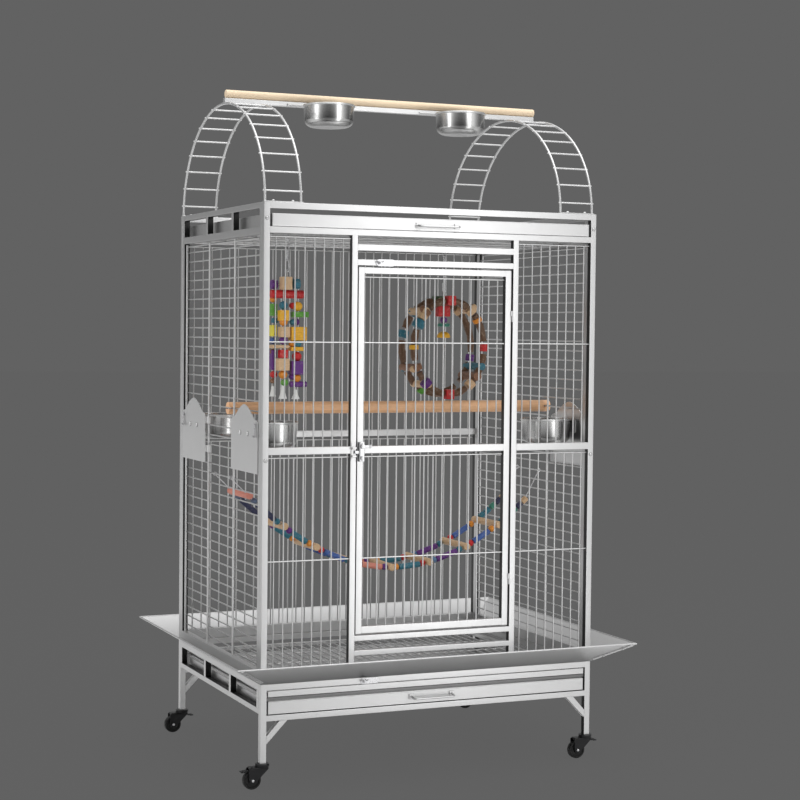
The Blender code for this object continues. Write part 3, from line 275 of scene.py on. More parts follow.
def wire(shape, path, radius, side=None, sides=10, loop=False, tips=False, dye=PLAIN):
    """A round section carried along a flat path: centre + radius (cos a side + sin a (tangent x side)).

    The side is the normal of the path's plane. Tips close the ends with half balls.
    """
    path = np.asarray(path, float)
    radius = np.broadcast_to(np.asarray(radius, float), (len(path),)).copy()
    if loop:
        tangent = np.roll(path, -1, axis=0) - np.roll(path, 1, axis=0)
    else:
        tangent = np.gradient(path, axis=0)
    tangent /= np.linalg.norm(tangent, axis=1, keepdims=True)
    if side is None:
        side = np.eye(3)[np.argmin(np.abs(tangent[0]))]
        side = side - tangent[0] * np.dot(side, tangent[0])
    side = np.asarray(side, float) / np.linalg.norm(side)
    if tips:
        bend = np.radians([88.0, 60.0, 30.0])
        head = path[0] - np.sin(bend)[:, None] * radius[0] * tangent[0]
        tail = path[-1] + np.sin(bend[::-1])[:, None] * radius[-1] * tangent[-1]
        path = np.concatenate([head, path, tail])
        radius = np.concatenate([radius[0] * np.cos(bend), radius, radius[-1] * np.cos(bend[::-1])])
        tangent = np.concatenate([np.tile(tangent[0], (3, 1)), tangent, np.tile(tangent[-1], (3, 1))])
    across = np.cross(tangent, side)
    across /= np.linalg.norm(across, axis=1, keepdims=True)
    angle = np.linspace(0.0, 2 * math.pi, sides, endpoint=False)
    ring = np.cos(angle)[None, :, None] * side + np.sin(angle)[None, :, None] * across[:, None, :]
    points = path[:, None, :] + radius[:, None, None] * ring
    gone = np.concatenate([[0.0], np.cumsum(np.linalg.norm(np.diff(path, axis=0), axis=1))])
    run = np.stack(
        [
            np.repeat(gone[:, None], sides, axis=1),
            radius[:, None] * np.cos(angle)[None, :],
            radius[:, None] * np.sin(angle)[None, :],
        ],
        axis=-1,
    )
    shape.grid(points, run, dye, loop_along=loop)


def turned(shape, profile, centre, along=(0.0, 0.0, 1.0), steps=32, loop=False, dye=PLAIN):
    """A turned part: profile rows (radius, height) swung round the line through centre."""
    profile = np.asarray(profile, float)
    axis = np.asarray(along, float) / np.linalg.norm(along)
    side = np.eye(3)[np.argmin(np.abs(axis))]
    side = side - axis * np.dot(side, axis)
    side /= np.linalg.norm(side)
    other = np.cross(axis, side)
    angle = np.linspace(0.0, 2 * math.pi, steps, endpoint=False)
    ring = np.cos(angle)[None, :, None] * side + np.sin(angle)[None, :, None] * other
    points = np.asarray(centre, float) + profile[:, 1][:, None, None] * axis
    points = points + profile[:, 0][:, None, None] * ring
    run = np.stack(
        [
            np.repeat(profile[:, 1][:, None], steps, axis=1),
            profile[:, 0][:, None] * np.cos(angle)[None, :],
            profile[:, 0][:, None] * np.sin(angle)[None, :],
        ],
        axis=-1,
    )
    shape.grid(points, run, dye, loop_along=loop)


def bead(shape, centre, radius, half, dye, along=(0.0, 0.0, 1.0), flat=1.0, steps=20):
    """A bead: radius cos(t) ** flat against half sin(t), round for flat 1 and a drum as flat nears 0."""
    t = np.linspace(-math.pi / 2, math.pi / 2, 11)
    radii = radius * np.cos(t).clip(0.0) ** flat
    turned(shape, np.stack([radii, half * np.sin(t)], axis=1), centre, along, steps, dye=dye)


def drum(shape, centre, radius, half, dye, along=(0.0, 0.0, 1.0), edge=0.0012, steps=20):
    """A disc or short rod with quarter-round edges."""
    t = np.linspace(0.0, math.pi / 2, 4)
    low = np.stack([radius - edge * (1 - np.sin(t)), -half + edge * (1 - np.cos(t))], axis=1)
    high = low[::-1] * [1.0, -1.0]
    profile = np.concatenate([[[0.0, -half]], low, high, [[0.0, half]]])
    turned(shape, profile, centre, along, steps, dye=dye)


def bent(corners, radius):
    """A path through corners, each rounded by an arc of points between its two tangent points."""
    corners = np.asarray(corners, float)
    path = [corners[0]]
    for before, at, after in zip(corners[:-2], corners[1:-1], corners[2:]):
        u = (before - at) / np.linalg.norm(before - at)
        v = (after - at) / np.linalg.norm(after - at)
        half = math.acos(np.clip(np.dot(u, v), -1, 1)) / 2
        reach = radius / math.tan(half)
        centre = at + (u + v) / np.linalg.norm(u + v) * radius / math.sin(half)
        a, b = at + u * reach - centre, at + v * reach - centre
        whole = math.acos(np.clip(np.dot(a, b) / radius**2, -1, 1))
        for s in np.linspace(0.0, 1.0, 6):
            path.append(centre + (math.sin((1 - s) * whole) * a + math.sin(s * whole) * b) / math.sin(whole))
    path.append(corners[-1])
    return np.array(path)


def circle(centre, radius, first, second, steps=24):
    """Points of a circle: centre + radius (cos a first + sin a second)."""
    turn = np.linspace(0.0, 2 * math.pi, steps, endpoint=False)[:, None]
    centre, first, second = (np.asarray(v, float) for v in (centre, first, second))
    return centre + radius * (np.cos(turn) * first + np.sin(turn) * second)


def bolt(shape, place, out, radius, height):
    """A domed screw head facing out on a washer, with painted shade on the washer's rim."""
    t = np.linspace(0.0, math.pi / 2, 5)
    dome = np.stack([radius * 0.86 * np.cos(t), 0.0006 + (height - 0.0006) * np.sin(t)], axis=1)
    rim = [[0.0, -0.0008], [radius, -0.0008], [radius, 0.0004], [radius * 0.94, 0.0006]]
    # painted shade round the washer's rim
    tone = np.ones((len(rim) + len(dome), 1, 3))
    tone[: len(rim)] = 0.12
    turned(shape, np.concatenate([rim, dome]), place, out, 16, dye=tone)


# Shader maths


class Term:
    """A number socket that takes Python's operators; each one adds a Math node."""

    def __init__(self, paint, socket):
        self.paint = paint
        self.socket = socket

    def using(self, operation, *values, clamp=False):
        """The result of one Math node."""
        settings = {"operation": operation, "use_clamp": clamp}
        made = self.paint.node("ShaderNodeMath", settings, dict(enumerate(values)))
        return Term(self.paint, made.outputs[0])

    def __add__(self, other):
        return self.using("ADD", self, other)

    def __sub__(self, other):
        return self.using("SUBTRACT", self, other)

    def __rsub__(self, other):
        return self.using("SUBTRACT", other, self)

    def __mul__(self, other):
        return self.using("MULTIPLY", self, other)

    def __truediv__(self, other):
        return self.using("DIVIDE", self, other)

    def __pow__(self, other):
        return self.using("POWER", self, other)

    def clamped(self):
        """The number held between 0 and 1."""
        return self.using("ADD", self, 0.0, clamp=True)


class Paint:
    """A material or a world being put together."""

    def __init__(self, owner):
        owner.use_nodes = True
        self.owner = owner
        self.tree = owner.node_tree

    def node(self, kind, settings, sockets):
        """One node: its settings first, then the values or links of its sockets by name or number."""
        made = self.tree.nodes.new(kind)
        for name, value in settings.items():
            if name == "stops":
                self.ramp_stops(made.color_ramp, value)
            else:
                setattr(made, name, value)
        for name, value in sockets.items():
            self.feed(made.inputs[name], value)
        return made

    def ramp_stops(self, ramp, stops):
        """Gives a colour ramp its stops."""
        while len(ramp.elements) < len(stops):
            ramp.elements.new(0.5)
        for element, (place, colour) in zip(ramp.elements, stops):
            element.position = place
            element.color = (*colour, 1.0)

    def feed(self, socket, value):
        """Links a socket or sets its value."""
        if isinstance(value, Term):
            value = value.socket
        if isinstance(value, bpy.types.NodeSocket):
            self.tree.links.new(value, socket)
        else:
            socket.default_value = value

    def attribute(self, name):
        """The named attribute of the mesh."""
        return self.node("ShaderNodeAttribute", {"attribute_name": name}, {})

    def stretched(self, vector, scale):
        """The vector times a scale on each axis."""
        made = self.node("ShaderNodeVectorMath", {"operation": "MULTIPLY"}, {0: vector, 1: scale})
        return made.outputs[0]

    def noise(self, vector, scale, detail=2.0, roughness=0.5, distortion=0.0):
        """Soft noise from 0 to 1."""
        sockets = {"Vector": vector, "Scale": scale, "Detail": detail}
        sockets.update({"Roughness": roughness, "Distortion": distortion})
        return Term(self, self.node("ShaderNodeTexNoise", {}, sockets).outputs[0])

    def blend(self, factor, first, second, mode="MIX"):
        """Two colours mixed."""
        settings = {"data_type": "RGBA", "blend_type": mode}
        made = self.node("ShaderNodeMix", settings, {0: factor, 6: first, 7: second})
        return made.outputs[2]

    def ramp(self, factor, stops):
        """A colour ramp."""
        return self.node("ShaderNodeValToRGB", {"stops": stops}, {0: factor}).outputs[0]

    def bump(self, height, distance, strength=1.0):
        """A bump normal from a height."""
        sockets = {"Strength": strength, "Distance": distance, "Height": height}
        return self.node("ShaderNodeBump", {}, sockets).outputs[0]

    def surface(self, sockets):
        """Sets the Principled shader's sockets."""
        shader = self.tree.nodes["Principled BSDF"]
        for name, value in sockets.items():
            self.feed(shader.inputs[name], value)
        return self.owner


def rgba(colour):
    """Three numbers as a colour with full alpha."""
    return (colour[0], colour[1], colour[2], 1.0)


def shade(colour, by):
    """A colour made darker or lighter by one factor."""
    return tuple(min(1.0, c * by) for c in colour[:3])


# Finishes


def satin_steel(name, colour, roughness):
    """Brushed stainless steel: fine lines along each part, faint clouding and a softly uneven gloss.

    Painted shade, held in the colour attribute, darkens it on faces that look into an opening, on undersides
    and in folds.
    """
    paint = Paint(bpy.data.materials.new(name))
    run = paint.attribute("run").outputs["Vector"]
    place = paint.node("ShaderNodeTexCoord", {}, {}).outputs["Object"]
    lines = paint.noise(paint.stretched(run, (9.0, 1500.0, 1500.0)), 1.0, 2.0, 0.6)
    cloud = paint.noise(place, 9.0, 3.0, 0.55)
    grime = paint.noise(place, 42.0, 4.0, 0.6)
    mottle = (cloud * 0.6 + lines * 0.4).clamped()
    tone = paint.blend(mottle, rgba(shade(colour, 0.93)), rgba(shade(colour, 1.04)))
    # painted shade from the colour attribute, multiplied into the base colour
    painted_shade = paint.attribute("dye").outputs["Color"]
    return paint.surface(
        {
            "Base Color": paint.blend(1.0, tone, painted_shade, "MULTIPLY"),
            "Metallic": 1.0,
            "Roughness": (lines - 0.5) * 0.10 + (grime - 0.5) * 0.08 + roughness,
            "Normal": paint.bump(lines * 0.6 + cloud * 0.4, 0.00006, 0.5),
        }
    )


# Painted reflection round a bowl's wall, by how far it turns from the front left: 1 towards it, 0 away from
# it
BOWL_REFLECTION = (
    (0.0, 0.45), (0.10, 0.95), (0.25, 0.35), (0.50, 0.10), (0.72, 0.25),
    (0.87, 0.95), (0.95, 1.0), (0.985, 0.45), (1.0, 0.28),
)
BOWL_FRONT = (-0.400, -0.916)


def bowl_steel(name, colour):
    """Polished spun steel: close rings round the bowl, and a painted reflection of upright dark and bright
    bands round the wall, kept where the colour attribute's red is full. Its green is painted shade, which
    darkens the inside and the outside towards the foot.
    """
    paint = Paint(bpy.data.materials.new(name))
    run = paint.attribute("run").outputs["Vector"]
    rings = paint.noise(paint.stretched(run, (1900.0, 22.0, 22.0)), 1.0, 2.0, 0.5)
    cloud = paint.noise(run, 35.0, 3.0, 0.5)
    tone = paint.blend(cloud, rgba(shade(colour, 0.94)), rgba(shade(colour, 1.03)))
    places = paint.node("ShaderNodeSeparateXYZ", {}, {0: run})
    across, depth = Term(paint, places.outputs[1]), Term(paint, places.outputs[2])
    reach = (across * across + depth * depth + 1e-6) ** 0.5
    turn = ((across * BOWL_FRONT[0] + depth * BOWL_FRONT[1]) / reach * 0.5 + 0.5).clamped()
    # painted reflection: dark and bright bands by the turn towards the front left
    painted_reflection = paint.ramp(turn, [(place, (glow,) * 3) for place, glow in BOWL_REFLECTION])
    masks = paint.node("ShaderNodeSeparateColor", {}, {0: paint.attribute("dye").outputs["Color"]})
    wall = paint.blend(masks.outputs[0], (1.0, 1.0, 1.0, 1.0), painted_reflection)
    # painted shade from the green of the colour attribute
    shaded = paint.blend(1.0, wall, masks.outputs[1], "MULTIPLY")
    return paint.surface(
        {
            "Base Color": paint.blend(1.0, tone, shaded, "MULTIPLY"),
            "Metallic": 1.0,
            "Roughness": rings * 0.10 + cloud * 0.05 + 0.13,
            "Normal": paint.bump(rings, 0.00005, 0.45),
        }
    )


def zinc_plate(name, colour):
    """Bright zinc: small crystal patches of unlike gloss."""
    paint = Paint(bpy.data.materials.new(name))
    place = paint.node("ShaderNodeTexCoord", {}, {}).outputs["Object"]
    cells = paint.node("ShaderNodeTexVoronoi", {}, {"Vector": place, "Scale": 420.0}).outputs["Distance"]
    patch = Term(paint, cells)
    fine = paint.noise(place, 900.0, 2.0)
    tone = paint.blend((patch * 1.4).clamped(), rgba(shade(colour, 0.86)), rgba(shade(colour, 1.06)))
    return paint.surface(
        {
            "Base Color": tone,
            "Metallic": 1.0,
            "Roughness": patch * 0.14 + fine * 0.08 + 0.18,
            "Normal": paint.bump(patch + fine * 0.3, 0.00012, 0.4),
        }
    )


def turned_wood(name, light, dark):
    """A sanded dowel: long grain streaks, pores and slow colour drift along the wood."""
    paint = Paint(bpy.data.materials.new(name))
    run = paint.attribute("run").outputs["Vector"]
    grain = paint.noise(paint.stretched(run, (5.0, 95.0, 95.0)), 1.0, 5.0, 0.62, 0.6)
    pores = paint.noise(paint.stretched(run, (60.0, 1400.0, 1400.0)), 1.0, 2.0, 0.5)
    drift = paint.noise(paint.stretched(run, (7.0, 9.0, 9.0)), 1.0, 2.0)
    mask = ((grain - 0.36) * 2.6).clamped()
    tone = paint.blend(mask, rgba(dark), rgba(light))
    worn = paint.blend((pores * 0.5 + drift * 0.35).clamped(), tone, rgba(shade(light, 1.08)))
    return paint.surface(
        {
            "Base Color": worn,
            "Roughness": grain * 0.14 + 0.42,
            "Normal": paint.bump(grain * 0.5 + pores * 0.5, 0.0003, 0.5),
        }
    )


def dyed_wood(name):
    """Toy blocks and beads: the dyed colour soaks unevenly into the grain and wears lighter."""
    paint = Paint(bpy.data.materials.new(name))
    run = paint.attribute("run").outputs["Vector"]
    place = paint.node("ShaderNodeTexCoord", {}, {}).outputs["Object"]
    dye = paint.attribute("dye").outputs["Color"]
    grain = paint.noise(paint.stretched(run, (60.0, 420.0, 420.0)), 1.0, 4.0, 0.6, 0.4)
    soak = paint.noise(place, 130.0, 3.0, 0.6)
    deep = paint.blend(0.32, dye, (0.06, 0.03, 0.02, 1.0))
    tone = paint.blend(((grain - 0.3) * 2.0).clamped(), deep, dye)
    faded = paint.blend(((soak - 0.55) * 1.2).clamped(), tone, (0.85, 0.72, 0.55, 1.0))
    return paint.surface(
        {
            "Base Color": faded,
            "Roughness": grain * 0.2 + 0.42,
            "Normal": paint.bump(grain, 0.0004, 0.5),
        }
    )


def cotton(name):
    """Twisted cord: slanting strands round the cord and a dusty matt face."""
    paint = Paint(bpy.data.materials.new(name))
    run = paint.attribute("run").outputs["Vector"]
    dye = paint.attribute("dye").outputs["Color"]
    wave = paint.node(
        "ShaderNodeTexWave",
        {"wave_type": "BANDS", "bands_direction": "DIAGONAL"},
        {"Vector": run, "Scale": 260.0, "Distortion": 1.2, "Detail": 1.0},
    )
    strand = Term(paint, wave.outputs["Fac"])
    fuzz = paint.noise(run, 900.0, 3.0)
    tone = paint.blend((strand * 0.6 + fuzz * 0.3).clamped(), rgba((0.38, 0.36, 0.33)), dye)
    return paint.surface(
        {
            "Base Color": tone,
            "Roughness": fuzz * 0.1 + 0.85,
            "Normal": paint.bump(strand + fuzz * 0.4, 0.0003, 0.7),
        }
    )


def moulded(name, colour, roughness, grain=1200.0):
    """Moulded nylon or rubber: fine spark grain, scuffs and a little dust."""
    paint = Paint(bpy.data.materials.new(name))
    place = paint.node("ShaderNodeTexCoord", {}, {}).outputs["Object"]
    spark = paint.noise(place, grain, 2.0, 0.6)
    scuff = paint.noise(paint.stretched(place, (60.0, 60.0, 160.0)), 1.0, 5.0, 0.65)
    mark = ((scuff - 0.56) * 3.0).clamped()
    tone = paint.blend(mark * 0.5, rgba(colour), rgba(tuple(c + 0.04 for c in colour[:3])))
    return paint.surface(
        {
            "Base Color": tone,
            "Specular IOR Level": 0.3,
            "Roughness": spark * 0.14 + mark * 0.1 + roughness - 0.07,
            "Normal": paint.bump(spark + mark * 0.5, 0.0001, 0.5),
        }
    )


def bell_shell(name, colour):
    """Pearly plastic of the bells: faint swirls and small scratches."""
    paint = Paint(bpy.data.materials.new(name))
    run = paint.attribute("run").outputs["Vector"]
    swirl = paint.noise(run, 160.0, 3.0, 0.5, 1.5)
    nick = paint.noise(run, 700.0, 4.0, 0.7)
    tone = paint.blend(swirl, rgba(shade(colour, 0.85)), rgba(shade(colour, 1.05)))
    return paint.surface(
        {
            "Base Color": tone,
            "Roughness": swirl * 0.15 + nick * 0.08 + 0.2,
            "Normal": paint.bump(nick + swirl, 0.0001, 0.4),
        }
    )


# Settings


class CageSteel(bpy.types.PropertyGroup):
    """Steel of the frames, wires and fittings."""

    tube_colour: FloatVectorProperty(
        name="Tube Colour", description="Satin steel of tubes and sheet", subtype="COLOR",
        default=(0.60, 0.60, 0.60), min=0, max=1,
    )
    tube_gloss: FloatProperty(
        name="Tube Roughness", description="Roughness of the satin steel", subtype="FACTOR",
        default=0.34, min=0.1, max=0.8,
    )
    wire_radius: FloatProperty(
        name="Wire Radius", description="Radius of the cage bars", unit="LENGTH",
        default=0.00175, min=0.001, max=0.003, precision=5,
    )
    bowl_colour: FloatVectorProperty(
        name="Bowl Colour", description="Polished steel of the bowls", subtype="COLOR",
        default=(0.66, 0.66, 0.655), min=0, max=1,
    )
    zinc_colour: FloatVectorProperty(
        name="Fitting Colour", description="Zinc of latches, clips and chains", subtype="COLOR",
        default=(0.60, 0.60, 0.61), min=0, max=1,
    )


class CageWood(bpy.types.PropertyGroup):
    """Wood of the perches and toys."""

    perch_light: FloatVectorProperty(
        name="Play Perch Colour", description="Light wood of the top perch", subtype="COLOR",
        default=(0.99, 0.76, 0.53), min=0, max=1,
    )
    perch_warm: FloatVectorProperty(
        name="Inner Perch Colour", description="Warmer wood of the perch inside", subtype="COLOR",
        default=(0.98, 0.55, 0.30), min=0, max=1,
    )
    natural: FloatVectorProperty(
        name="Natural Toy Wood", description="Undyed blocks and beads", subtype="COLOR",
        default=(0.80, 0.54, 0.31), min=0, max=1,
    )
    bark: FloatVectorProperty(
        name="Branch Colour", description="Branch sections of the ring toy", subtype="COLOR",
        default=(0.15, 0.075, 0.035), min=0, max=1,
    )


def dye_setting(name, colour):
    """A colour setting for one of the toys' dyed colours."""
    return FloatVectorProperty(
        name=name, description=name + " dye of the toys", subtype="COLOR", default=colour, min=0, max=1
    )


class CageToys(bpy.types.PropertyGroup):
    """Dyes of the toys."""

    red: dye_setting("Red", (0.66, 0.008, 0.014))
    orange: dye_setting("Orange", (0.92, 0.32, 0.020))
    yellow: dye_setting("Yellow", (1.0, 0.52, 0.020))
    lemon: dye_setting("Lemon", (1.0, 0.88, 0.08))
    green: dye_setting("Green", (0.10, 0.40, 0.035))
    forest: dye_setting("Forest Green", (0.035, 0.10, 0.035))
    jade: dye_setting("Jade", (0.035, 0.27, 0.19))
    teal: dye_setting("Teal", (0.015, 0.19, 0.27))
    blue: dye_setting("Blue", (0.045, 0.13, 0.43))
    sky: dye_setting("Sky Blue", (0.12, 0.25, 0.45))
    navy: dye_setting("Navy", (0.016, 0.028, 0.095))
    dusk: dye_setting("Dusk Blue", (0.12, 0.17, 0.27))
    purple: dye_setting("Purple", (0.13, 0.016, 0.25))
    brown: dye_setting("Brown", (0.27, 0.12, 0.055))
    salmon: dye_setting("Salmon", (0.85, 0.30, 0.22))


class CageCasters(bpy.types.PropertyGroup):
    """Casters."""

    nylon: FloatVectorProperty(
        name="Nylon Colour", description="Black of forks and brakes", subtype="COLOR",
        default=(0.004, 0.004, 0.005), min=0, max=1,
    )
    tread: FloatVectorProperty(
        name="Tread Colour", description="Black of the wheels", subtype="COLOR",
        default=(0.005, 0.005, 0.005), min=0, max=1,
    )


class CageStage(bpy.types.PropertyGroup):
    """Camera, floor and lamps."""

    camera_place: FloatVectorProperty(
        name="Camera Place", description="Where the camera stands", subtype="TRANSLATION",
        default=(-1.893, -4.457, 1.114),
    )
    yaw: FloatProperty(
        name="Yaw", description="Turn to the right of straight ahead", unit="ROTATION",
        default=math.radians(23.602),
    )
    pitch: FloatProperty(
        name="Pitch", description="Tilt downwards", unit="ROTATION", default=math.radians(2.214),
    )
    roll: FloatProperty(
        name="Roll", description="Lean of the horizon", unit="ROTATION", default=math.radians(0.5874),
    )
    lens: FloatProperty(
        name="Lens", description="Focal length on a 36 mm sensor, in millimetres",
        default=81.55, min=10, max=300,
    )
    floor_colour: FloatVectorProperty(
        name="Floor Colour", description="Pale floor that lights the cage from below", subtype="COLOR",
        default=(0.75, 0.75, 0.75), min=0, max=1,
    )
    backdrop_colour: FloatVectorProperty(
        name="Backdrop Colour", description="Plain grey that the camera sees round the cage",
        subtype="COLOR", default=(0.122, 0.122, 0.122), min=0, max=1,
    )


# Welded frames


def bars(shape, radius, xs, y, lo, hi, x0, x1, stiffener, toward):
    """A barred field: round bars up to a top wire, with a stiffening wire across them."""
    top = hi - 0.0078
    for x in xs:
        wire(shape, [(x, y, lo - WELD), (x, y, top)], radius, sides=12)
    x0, x1 = x0 - WELD, x1 + WELD
    wire(shape, [(x0, y, top), (x1, y, top)], radius + 0.0002, sides=12)
    if stiffener:
        over = y + toward * 2 * radius
        wire(shape, [(x0, over, stiffener), (x1, over, stiffener)], radius, sides=12)


def upright(shape, x0, x1, y0, y1, lo, hi, dim):
    """A standing square tube, with painted shade on the faces that look into an opening."""
    outline = rounded(x0, x1, y0, y1, EDGE)
    prism(shape, outline, lo, hi, "z", 0.0006, reveal_shading(outline, dim))


def rail_x(shape, x0, x1, y0, y1, lo, hi, dim="d", edge=EDGE):
    """A square tube from left to right, its ends buried in what it is welded to and painted shade on its
    underside or on the faces named.
    """
    outline = rounded(y0, y1, lo, hi, edge)
    prism(shape, outline, x0 - BURIED, x1 + BURIED, "x", 0.0002, reveal_shading(outline, dim))


def rail_y(shape, x0, x1, y0, y1, lo, hi, dim="d", edge=EDGE):
    """A square tube from front to rear, its ends buried in what it is welded to and painted shade on its
    underside or on the faces named.
    """
    outline = rounded(x0, x1, lo, hi, edge)
    prism(shape, outline, y0 - BURIED, y1 + BURIED, "y", 0.0002, reveal_shading(outline, dim))


def mirrored(shape, lo, hi, hands, edge):
    """A block between two corners whose x and y are first multiplied by the hands, 1 or -1 each."""
    ends = np.array([lo, hi]) * (*hands, 1)
    tube(shape, ends.min(axis=0), ends.max(axis=0), edge)


def leg_frame(name, node, paint, near, far, front):
    """One end of the base: legs, two rails, the corner braces and at the front the strip over the tray."""
    shape = Shape()
    for x0, x1, dim in CORNER_POSTS:
        upright(shape, x0, x1, near, far, FOOT, BASE_TOP, dim)
    rail_x(shape, -INNER, INNER, near, far, FOOT + 0.177, BASE_TOP)
    rail_x(shape, -INNER, INNER, near, far, FOOT + 0.102, FOOT + 0.117, "du")
    for hand in (-1, 1):
        outline = [(0.4395, FOOT + 0.046), (0.4395, FOOT + 0.066)]
        outline += [(0.406, FOOT + 0.1024), (0.385, FOOT + 0.1024)]
        prism(shape, [(hand * x, z) for x, z in outline], near + GAP, far - GAP, "y", 0.001)
    if front:
        end = INNER + BURIED
        lo, hi = (-end, near + 0.005, FOOT + 0.1515), (end, near + 0.012, FOOT + 0.159)
        # the recessed strip between grate and tray, darkened all over with painted shade
        tube(shape, lo, hi, 0.0008, (SHADED,) * 3)
    shape.piece(name, "cage", paint, node)


def base_side(name, node, paint, hand):
    """A side of the base: two rails, four posts and the runners that carry grate and tray."""
    shape = Shape()
    x0, x1 = sorted((hand * HALF_W, hand * INNER))
    rail_y(shape, x0, x1, -SIDE_END, SIDE_END, FOOT + 0.119, FOOT + 0.133, "du")
    rail_y(shape, x0, x1, -SIDE_END, SIDE_END, FOOT + 0.1765, FOOT + 0.1928)
    post = 0.015
    for y0 in (-SIDE_END, -0.1125, 0.0975, SIDE_END - post):
        upright(shape, x0, x1, y0, y0 + post, FOOT + 0.1325, FOOT + 0.177, "du")
    out = INNER + BURIED
    for lo, hi in (
        ((0.4265, -0.3145, FOOT + 0.1161), (out, 0.3145, FOOT + 0.1174)),
        ((0.4265, -0.3155, GRATE_LO - 0.0018), (out, 0.3155, GRATE_LO - GAP)),
        ((INNER - 0.0012, -0.315, FOOT + 0.116), (out, 0.315, FOOT + 0.128)),
    ):
        mirrored(shape, lo, hi, (hand, 1), 0.0005)
    shape.piece(name, "cage", paint, node)


class CAGE_OT_base(bpy.types.Operator):
    """Builds the legs, base rails, braces and runners"""

    bl_idname = "cage.base"
    bl_label = "Base"

    def execute(self, context):
        steel = context.scene.cage_steel
        paint = satin_steel("base_steel", steel.tube_colour, steel.tube_gloss)
        leg_frame("base_front", "base_front_frame", paint, FRONT, FRONT_IN, True)
        leg_frame("base_rear", "base_rear_frame", paint, -FRONT_IN, -FRONT, False)
        base_side("base_side_left", "base_left_side", paint, -1)
        base_side("base_side_right", "base_right_side", paint, 1)
        return {"FINISHED"}


def front_frame(paint, radius):
    """The front panel: outer frame, door posts, cross rails, bars, bolts, keeper and hinge pins."""
    shape = Shape()
    for x0, x1, dim in CORNER_POSTS:
        upright(shape, x0, x1, FRONT, FRONT_IN, CAGE_FOOT, CAP_HI, dim)
    for x0, x1 in ((POST_L_OUT, POST_L), (POST_R, POST_R_OUT)):
        upright(shape, x0, x1, FRONT, FRONT_IN, CAGE_SILL - 0.001, BAND_LO + 0.001, "lr")
    for lo, hi in ((CAP_LO, CAP_HI), (BAND_LO, BAND_HI), (CAGE_FOOT, CAGE_SILL)):
        rail_x(shape, -INNER, INNER, FRONT, FRONT_IN, lo, hi)
    for x0, x1 in ((-INNER, POST_L_OUT), (POST_R_OUT, INNER)):
        rail_x(shape, x0, x1, FRONT, FRONT_IN, MID_LO, MID_HI)
    for lo, hi in ((1.246, 1.262), (1.210, 1.225), (0.284, 0.298), (0.2475, 0.261)):
        rail_x(shape, POST_L, POST_R, FRONT, FRONT_IN, FOOT + lo, FOOT + hi)
    left = [-0.4218 + PITCH * i for i in range(8)]
    right = [0.4232 - PITCH * i for i in range(8)]
    for xs, x0, x1 in ((left, -INNER, POST_L_OUT), (right, POST_R_OUT, INNER)):
        bars(shape, radius, xs, BAR_Y, MID_HI, BAND_LO, x0, x1, HIGH_WIRE, -1)
        bars(shape, radius, xs, BAR_Y, CAGE_SILL, MID_LO, x0, x1, LOW_WIRE, -1)
    for x, z in CORNER_BOLTS:
        bolt(shape, (x, FRONT, z), (0, -1, 0), 0.0048, 0.0030)
    tube(shape, (-0.2255, FRONT - 0.0022, FOOT + 0.7325), (-0.2125, FRONT + 0.0005, FOOT + 0.7755), 0.0008)
    for lo in (0.7395, 0.7595):
        tube(shape, (-0.2251, FRONT - 0.009, FOOT + lo), (-0.2135, FRONT, FOOT + lo + 0.005), 0.0012)
    for z in HINGE_HEIGHTS:
        drum(shape, (*HINGE, z - 0.007), 0.0022, 0.007, PLAIN, steps=16, edge=0.0006)
        drum(shape, (*HINGE, z + 0.006), 0.0012, 0.0085, PLAIN, steps=12, edge=0.0004)
        tube(shape, (HINGE[0], HINGE[1] - 0.0012, z - 0.0135), (0.2175, FRONT + 0.0005, z - 0.0005), 0.0005)
    shape.piece("cage_front", "cage", paint, "front_panel")


def rear_frame(paint, radius):
    """The rear panel: frame, middle rail, bars and bolts."""
    shape = Shape()
    near, far = -FRONT_IN, -FRONT
    for x0, x1, dim in CORNER_POSTS:
        upright(shape, x0, x1, near, far, CAGE_FOOT, CAP_HI, dim)
    for lo, hi in ((CAP_LO, CAP_HI), (BAND_LO, BAND_HI), (MID_LO, MID_HI), (CAGE_FOOT, CAGE_SILL)):
        rail_x(shape, -INNER, INNER, near, far, lo, hi)
    xs = [ROW_PITCH * (i - 16.5) for i in range(34)]
    bars(shape, radius, xs, -BAR_Y, MID_HI, BAND_LO, -INNER, INNER, 0, 1)
    bars(shape, radius, xs, -BAR_Y, CAGE_SILL, MID_LO, -INNER, INNER, 0, 1)
    for x, z in CORNER_BOLTS:
        bolt(shape, (x, far, z), (0, 1, 0), 0.0048, 0.0022)
    shape.piece("cage_rear", "cage", paint, "rear_panel")


